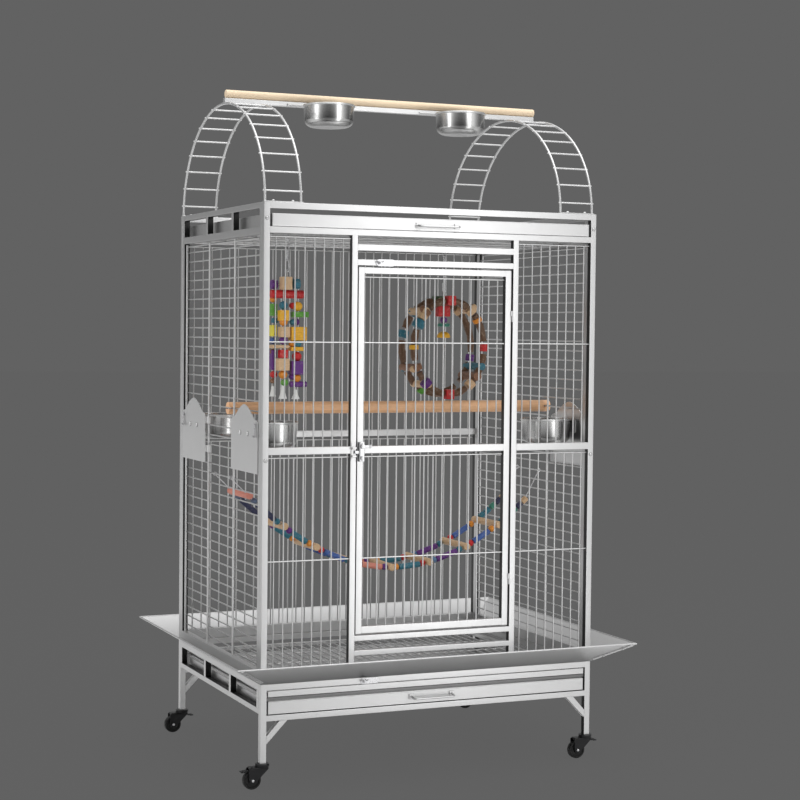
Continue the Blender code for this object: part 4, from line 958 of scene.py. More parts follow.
def side_frame(name, node, paint, radius, hand, rear_feeder):
    """A side panel: frame, top windows, upright rods and rows of bars with the feeder openings."""
    shape = Shape()
    x0, x1 = sorted((hand * HALF_W, hand * INNER))
    for y0, y1 in ((-SIDE_END, -POST_IN), (POST_IN, SIDE_END)):
        upright(shape, x0, x1, y0, y1, CAGE_FOOT, CAP_HI, "du")
    for lo, hi in ((CAGE_FOOT, CAGE_SILL), (FOOT + 1.280, BAND_HI), (FOOT + 1.3425, CAP_HI)):
        rail_y(shape, x0, x1, -POST_IN, POST_IN, lo, hi)
    for y0, y1 in ((-0.110, -0.0935), (0.102, 0.117)):
        upright(shape, x0, x1, y0, y1, BAND_HI - 0.0005, FOOT + 1.343, "du")
    for y in (-CORNER_ROD, -FEEDER_ROD, FEEDER_ROD, CORNER_ROD):
        ends = [(hand * ROD_X, y, z) for z in (CAGE_SILL - WELD, FOOT + 1.2772)]
        wire(shape, ends, 0.0030, sides=14)
    for i in range(-24, 17):
        z = PERCH_Z + ROW_PITCH * i
        low, high, x = -POST_IN - WELD, POST_IN + WELD, ROW_X
        if -6 < i < 0:
            low, x = -FEEDER_ROD, ROD_X
            high = FEEDER_ROD if rear_feeder else high
        wire(shape, [(hand * x, low, z), (hand * x, high, z)], radius, sides=12)
    ends = [(hand * ROD_X, y, FOOT + 1.2722) for y in (-POST_IN - WELD, POST_IN + WELD)]
    wire(shape, ends, 0.0021, sides=12)
    lo, hi = (0.427, -0.31, FOOT + 1.2963), (INNER + BURIED, 0.31, FOOT + 1.2978)
    mirrored(shape, lo, hi, (hand, 1), 0.0005)
    shape.piece(name, "cage", paint, node)


def ceiling(paint, radius):
    """The roof grid: a flat band frame with wires from front to rear over four cross rods."""
    shape = Shape()
    half_x, half_y = INNER - 0.0005, SIDE_END - 0.0005
    lo, hi = FOOT + 1.2815, FOOT + 1.2905
    for y0, y1 in ((-half_y, -half_y + 0.008), (half_y - 0.008, half_y)):
        rail_x(shape, -half_x + BURIED, half_x - BURIED, y0, y1, lo, hi, "d", 0.0014)
    for x0, x1 in ((-half_x, -half_x + 0.008), (half_x - 0.008, half_x)):
        rail_y(shape, x0, x1, -half_y + 0.007, half_y - 0.007, lo, hi, "d", 0.0014)
    for x in [ROW_PITCH * (i - 16) for i in range(33)]:
        ends = [(x, y, ROOF_MIDDLE) for y in (-half_y + 0.005, half_y - 0.005)]
        wire(shape, ends, radius, sides=12)
    for y in (-0.2, -0.07, 0.02, 0.18):
        wire(shape, [(-half_x + 0.005, y, ROOF_Z), (half_x - 0.005, y, ROOF_Z)], radius, sides=12)
    shape.piece("ceiling_grid", "cage", paint, "roof_grid")


class CAGE_OT_panels(bpy.types.Operator):
    """Builds the four barred panels and the roof grid"""

    bl_idname = "cage.panels"
    bl_label = "Barred Panels"

    def execute(self, context):
        steel = context.scene.cage_steel
        paint = satin_steel("panel_steel", steel.tube_colour, steel.tube_gloss)
        front_frame(paint, steel.wire_radius)
        rear_frame(paint, steel.wire_radius)
        side_frame("cage_left", "left_panel", paint, steel.wire_radius, -1, True)
        side_frame("cage_right", "right_panel", paint, steel.wire_radius, 1, False)
        ceiling(paint, steel.wire_radius)
        return {"FINISHED"}


def apron_section():
    """The apron's section, (out, height): foot flange, sloping sheet and a rolled hem, as a closed loop."""
    thick = 0.0012
    low = BASE_TOP + GAP
    hem_z = FOOT + 0.2472
    hem_out = 0.0858
    turn = np.linspace(-math.pi / 2, math.pi, 9)
    hem = np.stack([hem_out + 0.0022 * np.cos(turn), hem_z + 0.0022 * np.sin(turn)], axis=1)
    outer = np.array([[-0.014, low], [0.0010, low]])
    inner = np.array([[0.0004, low + thick], [-0.014, low + thick]])
    return np.concatenate([outer, hem, inner])


def apron(name, node, paint, half_run, half_depth, short, turn, shade_tones=(1.0, 1.0)):
    """One apron: its section carried between two mitred ends, with the joining strips of front and rear.

    Its last two numbers are painted shade: of its underside at the foot, which brightens to the hem, and of
    its upper side.
    """
    shape = Shape()
    section = apron_section()
    share = np.linspace(-1.0, 1.0, 9)
    out, height = section[:, 0], section[:, 1]
    run_to = half_run + out - short
    points = np.stack(
        [
            share[:, None] * run_to[None, :],
            np.repeat(-(half_depth + out)[None, :], len(share), axis=0),
            np.repeat(height[None, :], len(share), axis=0),
        ],
        axis=-1,
    )
    spin = np.array([[math.cos(turn), -math.sin(turn), 0], [math.sin(turn), math.cos(turn), 0], [0, 0, 1]])
    # painted shade: darker at the foot of the underside and on the upper side
    dye = np.ones((1, len(section), 3))
    dye[:, :2] = shade_tones[0]
    dye[:, -2:] = shade_tones[1]
    shape.grid(points @ spin.T, points, dye)
    if short == 0.0:
        for hand in (-1, 1):
            corner_strip(shape, hand, spin)
    shape.piece(name, "cage", paint, node, smooth=30)


def corner_strip(shape, hand, spin):
    """The strip and two screws under one mitre of an apron."""
    inner = np.array([hand * (HALF_W + 0.0010), FRONT - 0.0010, BASE_TOP + GAP])
    outer = np.array([hand * (HALF_W + 0.088), FRONT - 0.088, FOOT + 0.2450])
    along = (outer - inner) / np.linalg.norm(outer - inner)
    level = np.array([-hand, 0.0, 0.0])
    down = np.cross(level, along)
    down *= -np.sign(down[2]) / np.linalg.norm(down)
    across = np.cross(along, down)
    across *= np.sign(across @ level) / np.linalg.norm(across)
    length = np.linalg.norm(outer - inner)
    outline = rounded(0.010, length - 0.008, 0.0025, 0.0130, 0.0015)
    levels = [(-0.0004, 0.0), (0.0009, 0.0), (0.0013, 0.0004)]
    rows = np.array([offset(outline, inset) for _, inset in levels])
    height = np.array([h for h, _ in levels])[:, None, None]
    points = inner + rows[..., :1] * along + rows[..., 1:] * across + height * down
    run = np.concatenate([rows, np.broadcast_to(height, rows.shape[:2] + (1,))], axis=-1)
    shape.grid(points @ spin.T, run)
    for share in (0.30, 0.72):
        place = inner + along * share * length + across * 0.0078 + down * 0.0012
        bolt(shape, place @ spin.T, down @ spin.T, 0.0038, 0.0024)


class CAGE_OT_aprons(bpy.types.Operator):
    """Builds the four seed aprons"""

    bl_idname = "cage.aprons"
    bl_label = "Seed Aprons"

    def execute(self, context):
        steel = context.scene.cage_steel
        paint = satin_steel("apron_steel", steel.tube_colour, steel.tube_gloss + 0.03)
        # painted shade: the front apron's underside at the foot and the rear apron's upper side are darkened
        apron("seed_apron_front", "apron_front", paint, HALF_W, -FRONT, 0.0, 0.0, (0.35, 1.0))
        apron("seed_apron_rear", "apron_rear", paint, HALF_W, -FRONT, 0.0, math.pi, (1.0, 0.62))
        apron("seed_apron_left", "apron_left", paint, -FRONT, HALF_W, 0.0004, -math.pi / 2)
        apron("seed_apron_right", "apron_right", paint, -FRONT, HALF_W, 0.0004, math.pi / 2)
        return {"FINISHED"}


def door_leaf(paint, radius):
    """The door: frame, bars and hinge barrels."""
    shape = Shape()
    lo, hi = FOOT + 0.302, FOOT + 1.206
    for x0, x1 in ((DOOR_L, LEAF_L), (LEAF_R, DOOR_R)):
        upright(shape, x0, x1, FRONT, FRONT_IN, lo, hi, "lr")
    for z0, z1 in ((lo, LEAF_SILL), (MID_LO, MID_HI), (LEAF_HEAD, hi)):
        rail_x(shape, LEAF_L, LEAF_R, FRONT, FRONT_IN, z0, z1)
    xs = [PITCH * i for i in range(-7, 8)]
    bars(shape, radius, xs, BAR_Y, MID_HI, LEAF_HEAD, LEAF_L, LEAF_R, HIGH_WIRE, -1)
    bars(shape, radius, xs, BAR_Y, LEAF_SILL, MID_LO, LEAF_L, LEAF_R, LOW_WIRE, -1)
    for z in HINGE_HEIGHTS:
        barrel = [(0.0015, 0.0), (0.0022, 0.0), (0.0022, 0.014), (0.0015, 0.014)]
        turned(shape, barrel, (*HINGE, z + GAP), steps=16, loop=True)
        low = (0.2088, HINGE[1] - 0.0012, z + 0.0008)
        high = (HINGE[0] - 0.00175, FRONT + 0.0005, z + 0.0135)
        tube(shape, low, high, 0.0004)
    shape.piece("door_leaf", "door", paint, "door")


def latch(paint):
    """The door latch: a folded body with its knob, and the wing lever that turns on it."""
    shape = Shape()
    x, y = -0.2004, FRONT - 0.0125
    tube(shape, (-0.2073, y, FOOT + 0.729), (-0.1935, FRONT - GAP, FOOT + 0.777), 0.0022)
    tube(shape, (-0.2178, FRONT - 0.0085, FOOT + 0.748), (-0.2060, FRONT - 0.0045, FOOT + 0.756), 0.0012)
    drum(shape, (x, FRONT - 0.0135, FOOT + 0.738), 0.0046, 0.0030, PLAIN, (0, -1, 0), 0.001)
    drum(shape, (x, FRONT - 0.0160, FOOT + 0.738), 0.0022, 0.0012, PLAIN, (0, -1, 0), 0.0005)
    for z in (0.7325, 0.7735):
        bolt(shape, (x, y, FOOT + z), (0, -1, 0), 0.0020, 0.0010)
    shape.piece("latch_case", "door", paint, "door_latch_body")
    y, z = FRONT - 0.0128, FOOT + 0.7665
    lever = Shape()
    drum(lever, (x, y - 0.0035, z), 0.0058, 0.0035, PLAIN, (0, -1, 0), 0.0012)
    drum(lever, (x, y - 0.0071, z), 0.0026, 0.0006, PLAIN, (0, -1, 0), 0.0003)
    tube(lever, (x, y - 0.0052, z - 0.0032), (x + 0.021, y - 0.0024, z + 0.0032), 0.0012)
    tube(lever, (x + 0.017, y - 0.0075, z - 0.0045), (x + 0.0225, y - 0.0018, z + 0.0045), 0.0018)
    lever.piece("latch_lever", "door_latch_lever", paint, "door_latch_lever")


def turn_clip(name, node, paint, pivot, half):
    """A turn clip: a round-ended tongue under a wing nut on its stud."""
    x, y, z = pivot
    shape = Shape()
    arc = np.radians(np.linspace(-90, 90, 9))
    tongue = np.stack([x + 0.034 + half * np.cos(arc), z + half * np.sin(arc)], axis=1)
    heel = np.stack([x - 0.001 - half * np.cos(arc), z - half * np.sin(arc)], axis=1)
    prism(shape, np.concatenate([tongue, heel]), y - 0.0018, y, "y", 0.0004)
    drum(shape, (x, y - 0.0024, z), 0.0056, 0.0006, PLAIN, (0, -1, 0), 0.0003)
    drum(shape, (x, y - 0.0055, z), 0.0036, 0.0030, PLAIN, (0, -1, 0), 0.0008)
    for hand in (-1, 1):
        path = [(x, y - 0.0055, z), (x + hand * 0.006, y - 0.0072, z + 0.0022)]
        path.append((x + hand * 0.0085, y - 0.0085, z + 0.0038))
        wire(shape, path, [0.0014, 0.0017, 0.0013], (0, 0, 1), 10, tips=True)
    wire(shape, [(x, y - 0.0016, z), (x, y - 0.0120, z)], 0.0018, (0, 0, 1), 12)
    shape.piece(name, node, paint, node)


class CAGE_OT_door(bpy.types.Operator):
    """Builds the door, its latch and the two turn clips"""

    bl_idname = "cage.door"
    bl_label = "Door and Locks"

    def execute(self, context):
        steel = context.scene.cage_steel
        paint = satin_steel("door_steel", steel.tube_colour, steel.tube_gloss)
        zinc = zinc_plate("lock_zinc", steel.zinc_colour)
        door_leaf(paint, steel.wire_radius)
        latch(zinc)
        turn_clip("clip_door", "door_turn_clip", zinc, (-0.1545, FRONT - GAP, FOOT + 1.2175), 0.0085)
        turn_clip("clip_base", "base_turn_clip", zinc, (-0.1860, FRONT - GAP, FOOT + 0.1843), 0.0074)
        return {"FINISHED"}


def pan(shape, lo, hi, wall):
    """A sheet tray: stacked outlines up the outside, over a rolled rim and down the inside."""
    outline = rounded(lo[0], hi[0], lo[1], hi[1], 0.003)
    turn = np.linspace(0.0, math.pi, 5)
    rim = [(hi[2] - 0.0008 + 0.0008 * math.sin(t), wall * (1 - math.cos(t)) / 2) for t in turn]
    levels = [(lo[2], 0.0012), (lo[2] + 0.0012, 0.0), *rim, (lo[2] + wall, wall)]
    stacked(shape, outline, levels, "z")


def hem(shape, x0, x1, y, z0, z1, radius):
    """The folded edge round a drawer front."""
    corners = [(x0, z0), (x1, z0), (x1, z1), (x0, z1)]
    for (xa, za), (xb, zb) in zip(corners, corners[1:] + corners[:1]):
        wire(shape, [(xa, y, za), (xb, y, zb)], radius, (0, 1, 0), 10, tips=True)


def drawer_handle(name, node, body, paint, x0, x1, y, z, drop):
    """A wire handle: a bent bow on two feet."""
    shape = Shape()
    out = y - 0.019
    path = bent([(x0, y - 0.0004, z), (x0, out, z - drop), (x1, out, z - drop), (x1, y - 0.0004, z)], 0.006)
    wire(shape, path, 0.0026, (0, -drop, -0.019), 14)
    for x in (x0, x1):
        lo, hi = (x - 0.007, y - 0.0017, z - 0.0065), (x + 0.007, y - 0.0001, z + 0.0065)
        tube(shape, lo, hi, 0.0020, soft=0.0005)
    shape.piece(name, body, paint, node)


def grate(paint, radius):
    """The grate: a flat frame with a folded front, and wires from front to rear over four cross rods."""
    shape = Shape()
    half = 0.4345
    near, far = FRONT + 0.0025, 0.312
    lo, hi = GRATE_LO, GRATE_LO + 0.010
    for x0, x1 in ((-half, -half + 0.008), (half - 0.008, half)):
        rail_y(shape, x0, x1, near + BURIED, far - BURIED, lo, hi, "d", 0.0014)
    for y0, y1 in ((near, near + 0.009), (far - 0.008, far)):
        rail_x(shape, -half + 0.007, half - 0.007, y0, y1, lo, hi, "d", 0.0014)
    lo, hi = GRATE_LO - 0.0005, GRATE_LO + 0.0145
    tube(shape, (-0.4355, FRONT + 0.0015, lo), (0.4355, FRONT + 0.0045, hi), 0.0012)
    for x in [ROW_PITCH * (i - 16) for i in range(33)]:
        ends = [(x, y, GRATE_LO + 0.0073) for y in (near + 0.007, far - 0.004)]
        wire(shape, ends, radius, sides=12)
    for y in (-0.2, -0.08, 0.05, 0.18):
        ends = [(x, y, GRATE_LO + 0.0038) for x in (-half + 0.004, half - 0.004)]
        wire(shape, ends, radius, sides=12)
    shape.piece("grate", "grate_drawer", paint, "grate_drawer")


class CAGE_OT_trays(bpy.types.Operator):
    """Builds the top tray, the litter tray, the grate and their handles"""

    bl_idname = "cage.trays"
    bl_label = "Trays and Grate"

    def execute(self, context):
        steel = context.scene.cage_steel
        paint = satin_steel("tray_steel", steel.tube_colour, steel.tube_gloss + 0.02)
        top = Shape()
        pan(top, (-0.4342, FRONT + 0.0010, FOOT + 1.2985), (0.4342, SIDE_END - 0.001, FOOT + 1.3300), 0.0012)
        hem(top, -0.4328, 0.4328, FRONT + 0.0020, FOOT + 1.3003, FOOT + 1.3285, 0.0014)
        top.piece("tray_top", "top_tray", paint, "top_tray")
        drawer_handle(
            "handle_top", "top_tray_handle", "top_tray", paint, -0.050, 0.056, FRONT + 0.0002,
            FOOT + 1.3125, 0.002,
        )
        litter = Shape()
        pan(litter, (-0.4355, FRONT + 0.0020, FOOT + 0.1180), (0.4355, 0.312, FOOT + 0.1500), 0.0012)
        hem(litter, -0.4338, 0.4338, FRONT + 0.0030, FOOT + 0.1197, FOOT + 0.1484, 0.0015)
        litter.piece("tray_litter", "litter_tray", paint, "litter_tray")
        drawer_handle(
            "handle_litter", "litter_tray_handle", "litter_tray", paint, -0.055, 0.056, FRONT + 0.0012,
            FOOT + 0.1365, 0.004,
        )
        grate(paint, steel.wire_radius)
        return {"FINISHED"}


def bowl_profile(rim, height):
    """A bowl's section, with its painted reflection mask (red) and painted shade (green): flat foot, round
    turn-up, straight wall, rolled lip and the inside.
    """
    radius = BOWL_R
    foot = rim - height
    wall = 0.0010
    turn = np.linspace(0.0, math.pi / 2, 8)
    outside = np.stack([radius - 0.022 + 0.022 * np.sin(turn), foot + 0.019 * (1 - np.cos(turn))], axis=1)
    lip = np.linspace(-0.6 * math.pi, math.pi * 0.75, 9)
    roll = np.stack([radius + 0.0017 + 0.0018 * np.cos(lip), rim - 0.0018 + 0.0018 * np.sin(lip)], axis=1)
    out = radius - 0.022 - wall + 0.022 * np.sin(turn)
    inside = np.stack([out, foot + wall + 0.0185 * (1 - np.cos(turn))], axis=1)[::-1]
    profile = np.concatenate([[[0.0, foot]], outside, roll, inside, [[0.0, foot + wall]]])
    dye = np.ones((len(profile), 1, 3))
    # red keeps the painted reflection, fading out towards the foot and gone on the lip's roll and inside;
    # green is painted shade, dark at the foot and inside
    dye[: len(outside) - 1, 0, 0] = np.linspace(0.0, 1.0, len(outside) - 1) ** 2
    dye[: len(outside) - 1, 0, 1] = np.linspace(0.2, 1.0, len(outside) - 1)
    dye[len(outside) + 1 :, 0, 0] = 0.0
    dye[len(outside) + len(roll) + 1 :, 0, 1] = 0.3
    return profile, dye


def bowl(name, node, paint, x, y, rim, height):
    """One steel bowl."""
    shape = Shape()
    profile, dye = bowl_profile(rim, height)
    turned(shape, profile, (x, y, 0.0), steps=64, dye=dye)
    shape.piece(name, node, paint, node, smooth=50)


def bowl_ring(shape, x, y, rim):
    """The wire ring that a bowl hangs in, under its rolled lip."""
    path = circle((x, y, rim - RING_BELOW), BOWL_RING_R, (1, 0, 0), (0, 1, 0), 48)
    wire(shape, path, 0.0016, (0, 0, 1), 12, loop=True)


# Half outline of a feeder plate, (out from its middle, height): side, small shoulder and domed head
SHOULDER = (
    (0.1015, 0.700), (0.1015, 0.8215), (0.0995, 0.8262), (0.0935, 0.8292), (0.0830, 0.8312),
    (0.0735, 0.8335), (0.0675, 0.8370), (0.0605, 0.8420), (0.0525, 0.8470), (0.0440, 0.8520),
    (0.0350, 0.8563), (0.0260, 0.8602), (0.0170, 0.8633), (0.0080, 0.8656), (0.0020, 0.8666),
)


def feeder(label, sx, sy, paint, zinc, chrome):
    """One feeder door: shaped plate, hinge sleeves, bracket, bowl ring, bolts, wing latch and bowl."""
    shape = Shape()
    hands = (sx, sy)
    middle, face = -0.2105, -0.4570
    half = [(o, FOOT + z) for o, z in SHOULDER]
    outline = [(sy * (middle + o), z) for o, z in half] + [(sy * (middle - o), z) for o, z in reversed(half)]
    x0, x1 = sorted((face * sx, -0.4555 * sx))
    prism(shape, outline, x0, x1, "x", 0.0005)
    for z in (FOOT + 0.7265, FOOT + 0.8020):
        sleeve = [(0.0035, 0.0), (0.0044, 0.0), (0.0050, 0.0006)]
        sleeve += [(0.0050, 0.0184), (0.0044, 0.019), (0.0035, 0.019)]
        turned(shape, sleeve, (-ROD_X * sx, -FEEDER_ROD * sy, z), steps=20, loop=True)
        mirrored(shape, (-0.4560, -0.1175, z + 0.001), (-0.4508, -0.1079, z + 0.018), hands, 0.0008)
    mirrored(shape, (-0.4558, -0.2450, FOOT + 0.785), (-0.4533, -0.1750, FOOT + 0.8205), hands, 0.0008)
    bowl_x, bowl_y = FEEDER_BOWL[0] * sx, FEEDER_BOWL[1] * sy
    bowl_ring(shape, bowl_x, bowl_y, FEEDER_RIM)
    for y in (-0.1810, -0.2390):
        bolt(shape, (face * sx, y * sy, FOOT + 0.795), (-sx, 0, 0), 0.0062, 0.0046)
    node = "feeder_plate_" + label
    shape.piece(node + "_sheet", "feeder_door_" + label, paint, node)
    feeder_wing(label, sx, sy, zinc)
    bowl("feeder_dish_" + label, "feeder_bowl_" + label, chrome, bowl_x, bowl_y, FEEDER_RIM, 0.066)


def feeder_wing(label, sx, sy, zinc):
    """The turn latch of a feeder: boss and stud through the plate, a wing outside and a tongue inside."""
    shape = Shape()
    y, z = -0.2970, FOOT + 0.8200
    drum(shape, (-0.4594 * sx, y * sy, z), 0.0050, 0.0022, PLAIN, (sx, 0, 0), 0.0007)
    wire(shape, [(-0.4592 * sx, y * sy, z), (-0.4420 * sx, y * sy, z)], 0.0022, (0, 0, 1), 14)
    for x0, x1, half, low, high, edge in (
        (-0.4614, -0.4592, 0.0034, -0.030, 0.004, 0.0009),
        (-0.4650, -0.4588, 0.0036, -0.032, -0.026, 0.0014),
        (-0.4436, -0.4412, 0.0025, -0.0118, 0.0030, 0.0008),
    ):
        mirrored(shape, (x0, y - half, z + low), (x1, y + half, z + high), (sx, sy), edge)
    node = "feeder_latch_" + label
    shape.piece("feeder_wing_" + label, node, zinc, node)


class CAGE_OT_feeders(bpy.types.Operator):
    """Builds the three swing-out feeder doors with their bowls"""

    bl_idname = "cage.feeders"
    bl_label = "Feeders"

    def execute(self, context):
        steel = context.scene.cage_steel
        paint = satin_steel("feeder_steel", shade(steel.tube_colour, 1.15), steel.tube_gloss)
        zinc = zinc_plate("feeder_zinc", steel.zinc_colour)
        chrome = bowl_steel("feeder_bowl_steel", steel.bowl_colour)
        for label, sx, sy in (("left_front", 1, 1), ("left_rear", 1, -1), ("right_front", -1, 1)):
            feeder(label, sx, sy, paint, zinc, chrome)
        return {"FINISHED"}


def dowel(shape, x0, x1, y, z, radius, slot=0.0):
    """A perch with rounded ends, split to a slot at both ends where it sits on a bar."""
    if slot:
        a, b, lap = x0 + slot, x1 - slot, 0.0004
        cut = math.asin(0.0025 / radius)
        for start, end in ((x0, a + lap), (b - lap, x1)):
            for base in (0.0, math.pi):
                half_log(shape, start, end, y, z, radius, cut, base)
        profile = [[0.0, a], [radius, a], [radius, b], [0.0, b]]
    else:
        turn = np.linspace(0.0, math.pi / 2, 5)
        soft = 0.0022
        width, depth = radius - soft * (1 - np.sin(turn)), soft * (1 - np.cos(turn))
        low = np.stack([width, x0 + depth], axis=1)
        high = np.stack([width, x1 - depth], axis=1)[::-1]
        profile = np.concatenate([[[0.0, x0]], low, high, [[0.0, x1]]])
    turned(shape, profile, (0.0, y, z), (1, 0, 0), 40)


def half_log(shape, a, b, y, z, radius, cut, base):
    """Half of a split dowel end: the round face above the slot, closed along the slot's wall."""
    angle = base + np.linspace(cut, math.pi - cut, 15)
    outline = np.stack([y + radius * np.cos(angle), z + radius * np.sin(angle)], axis=1)
    prism(shape, outline, a, b, "x", 0.0006)


class CAGE_OT_perches(bpy.types.Operator):
    """Builds the perch inside and the perch on the play top"""

    bl_idname = "cage.perches"
    bl_label = "Perches"

    def execute(self, context):
        wood = context.scene.cage_wood
        warm = turned_wood("inner_perch_wood", wood.perch_warm, shade(wood.perch_warm, 0.62))
        light = turned_wood("play_perch_wood", wood.perch_light, shade(wood.perch_light, 0.72))
        inner = Shape()
        dowel(inner, -0.457, 0.461, -0.08, PERCH_Z, 0.0155, 0.0205)
        inner.piece("perch_inside", "cage", warm, "inner_perch")
        upper = Shape()
        dowel(upper, -0.442, 0.445, 0.0, FOOT + 1.65265, 0.01035)
        upper.piece("perch_on_top", "cage", light, "playtop_perch")
        return {"FINISHED"}


ARCH_FOOT = CAP_HI + 0.0014
ARCH_Y = 0.335
LADDER_R = 0.0032
RAIL_LO = FOOT + 1.6290
RAIL_HI = FOOT + 1.6420
ARCH_TOP = RAIL_LO - GAP - LADDER_R
TOP_RIM = FOOT + 1.6300
TOP_BOWLS = (-0.1880, 0.1866)
TOP_BOWL_Y = -0.0790


def arch(x, angle):
    """Points of a ladder arch: a half ellipse from the front foot over to the rear one."""
    angle = np.asarray(angle, float)
    y = -ARCH_Y * np.cos(angle)
    z = ARCH_FOOT + (ARCH_TOP - ARCH_FOOT) * np.sin(angle)
    return np.stack([np.full(angle.shape, x), y, z], axis=-1)


def ladder(name, node, paint, x0, x1):
    """An arched ladder: two bent rails, rungs welded through them and a bolted foot plate at each end."""
    shape = Shape()
    turn = np.linspace(0.0, math.pi, 49)
    for x in (x0, x1):
        wire(shape, arch(x, turn), LADDER_R, (1, 0, 0), 14)
    first, step = 5.6, 10.2
    for i in range(8):
        for degrees in (first + step * i, 180.0 - first - step * i):
            y, z = arch(0.0, math.radians(degrees))[1:]
            wire(shape, [(x0 - 0.0035, y, z), (x1 + 0.0035, y, z)], 0.0021, (0, 0, 1), 10, tips=True)
    for hand in (-1, 1):
        y = hand * ARCH_Y
        plate = CAP_HI + 0.0021
        tube(shape, (x0 - 0.004, y - 0.0065, CAP_HI + GAP), (x1 + 0.004, y + 0.0065, plate), 0.0008)
        for x in (x0 + 0.021, x1 - 0.021):
            bolt(shape, (x, y, plate), (0, 0, 1), 0.0050, 0.0044)
    shape.piece(name, "cage", paint, node)


class CAGE_OT_play_top(bpy.types.Operator):
    """Builds the arched ladders, the rail between them and its bowls"""

    bl_idname = "cage.play_top"
    bl_label = "Play Top"

    def execute(self, context):
        steel = context.scene.cage_steel
        paint = satin_steel("play_top_steel", shade(steel.tube_colour, 1.1), steel.tube_gloss + 0.04)
        chrome = bowl_steel("play_bowl_steel", steel.bowl_colour)
        ladder("arch_left", "ladder_left", paint, -0.4500, -0.3580)
        ladder("arch_right", "ladder_right", paint, 0.3530, 0.4450)
        shape = Shape()
        prism(shape, rounded(-0.007, 0.007, RAIL_LO, RAIL_HI, 0.0015), -0.446, 0.444, "x", 0.001)
        for x in TOP_BOWLS:
            ring_z = TOP_RIM - RING_BELOW
            bowl_ring(shape, x, TOP_BOWL_Y, TOP_RIM)
            low, high = ring_z - 0.0013, RAIL_LO + 0.0080
            tube(shape, (x - 0.024, -0.0130, low), (x + 0.024, -0.0067, ring_z + 0.0013), 0.0010)
            tube(shape, (x - 0.023, -0.0108, low + 0.0002), (x + 0.023, -0.0065, high), 0.0010)
            tube(shape, (x - 0.088, -0.0106, high - 0.005), (x + 0.031, -0.0063, high - 0.0007), 0.0010)
        bolt(shape, (0.288, -0.0070, FOOT + 1.6355), (0, -1, 0), 0.0040, 0.0028)
        shape.piece("play_rail", "cage", paint, "playtop_rail")
        for label, x in zip(("left", "right"), TOP_BOWLS):
            bowl("play_dish_" + label, "playtop_bowl_" + label, chrome, x, TOP_BOWL_Y, TOP_RIM, 0.058)
        return {"FINISHED"}


def fork(label, paint, x, y):
    """A caster fork: swivel cup, crown, two cheeks and the axle bolt."""
    shape = Shape()
    cup = [(0.0, 0.0532), (0.0165, 0.0532), (0.0175, 0.0542), (0.0175, 0.0592)]
    cup += [(0.0163, FOOT - GAP), (0.0, FOOT - GAP)]
    turned(shape, cup, (x, y, 0.0), steps=36)
    tube(shape, (x - 0.034, y - 0.0128, 0.0478), (x + 0.013, y + 0.0128, 0.0540), 0.0028)
    outline = np.array(
        [(-0.0370, 0.0505), (-0.0372, 0.0300), (-0.0345, 0.0170), (-0.0270, 0.0145), (-0.0205, 0.0160),
         (-0.0020, 0.0350), (0.0125, 0.0490), (0.0125, 0.0530), (-0.0300, 0.0530)]
    ) + [x, 0.0]
    for hand in (-1, 1):
        y0, y1 = sorted((y + hand * 0.0096, y + hand * 0.0124))
        prism(shape, outline, y0, y1, "y", 0.0006)
    drum(shape, (x - AXLE_BACK, y, AXLE_Z), 0.0034, 0.0135, PLAIN, (0, 1, 0), 0.0004)
    shape.piece("fork_" + label, "swivel_" + label, paint, "caster_fork_" + label)


def wheel(label, paint, x, y):
    """A caster wheel: rounded tread, recessed web and a raised hub. Its radius is the axle's height."""
    shape = Shape()
    side = [
        (0.0037, 0.0084), (0.0072, 0.0084), (0.0078, 0.0078), (0.0082, 0.0062), (0.0160, 0.0062),
        (0.0168, 0.0072), (0.0178, 0.0082), (0.0200, 0.0084), (0.0214, 0.0078), (0.0222, 0.0062),
        (AXLE_Z, 0.0035),
    ]
    profile = side + [(r, -h) for r, h in reversed(side)]
    turned(shape, profile, (x - AXLE_BACK, y, AXLE_Z), (0, 1, 0), 48, loop=True)
    shape.piece("wheel_" + label, "wheel_" + label, paint, "caster_wheel_" + label, smooth=28)


def axle_cap(label, paint, x, y):
    """The bright caps on the axle's ends."""
    shape = Shape()
    for hand in (-1, 1):
        bolt(shape, (x - AXLE_BACK, y + hand * 0.0127, AXLE_Z), (0, hand, 0), 0.0036, 0.0020)
    shape.piece("axle_cap_" + label, "swivel_" + label, paint)


# Brake pedals by the side they point to, 1 right and -1 left: the spans of arm and plate, the height of
# the plate's underside, the pivot and the first rib, all measured from the swivel
PEDALS = {
    1: ((0.0140, 0.0215), (0.0195, 0.0300), 0.0432, 0.0155, 0.0225),
    -1: ((-0.0480, -0.0390), (-0.0560, -0.0455), 0.0428, -0.0390, -0.0535),
}


def pedal(label, paint, x, y, side):
    """A brake pedal: ribbed tread plate on its arm and pivot."""
    shape = Shape()
    arm, plate, under, pivot, rib = PEDALS[side]
    tube(shape, (x + arm[0], y - 0.0080, 0.0440), (x + arm[1], y + 0.0080, 0.0466), 0.0009)
    tube(shape, (x + plate[0], y - 0.0095, under), (x + plate[1], y + 0.0095, under + 0.0024), 0.0010)
    wire(shape, [(x + pivot, y + end, 0.0465) for end in (-0.0085, 0.0085)], 0.0020, (0, 0, 1), 14)
    for out in (x + rib, x + rib + 0.0025, x + rib + 0.0050):
        lo, hi = (out - 0.0004, y - 0.0085, under + 0.0022), (out + 0.0004, y + 0.0085, under + 0.0028)
        tube(shape, lo, hi, 0.0003)
    shape.piece("pedal_" + label, "brake_" + label, paint, "caster_brake_" + label)


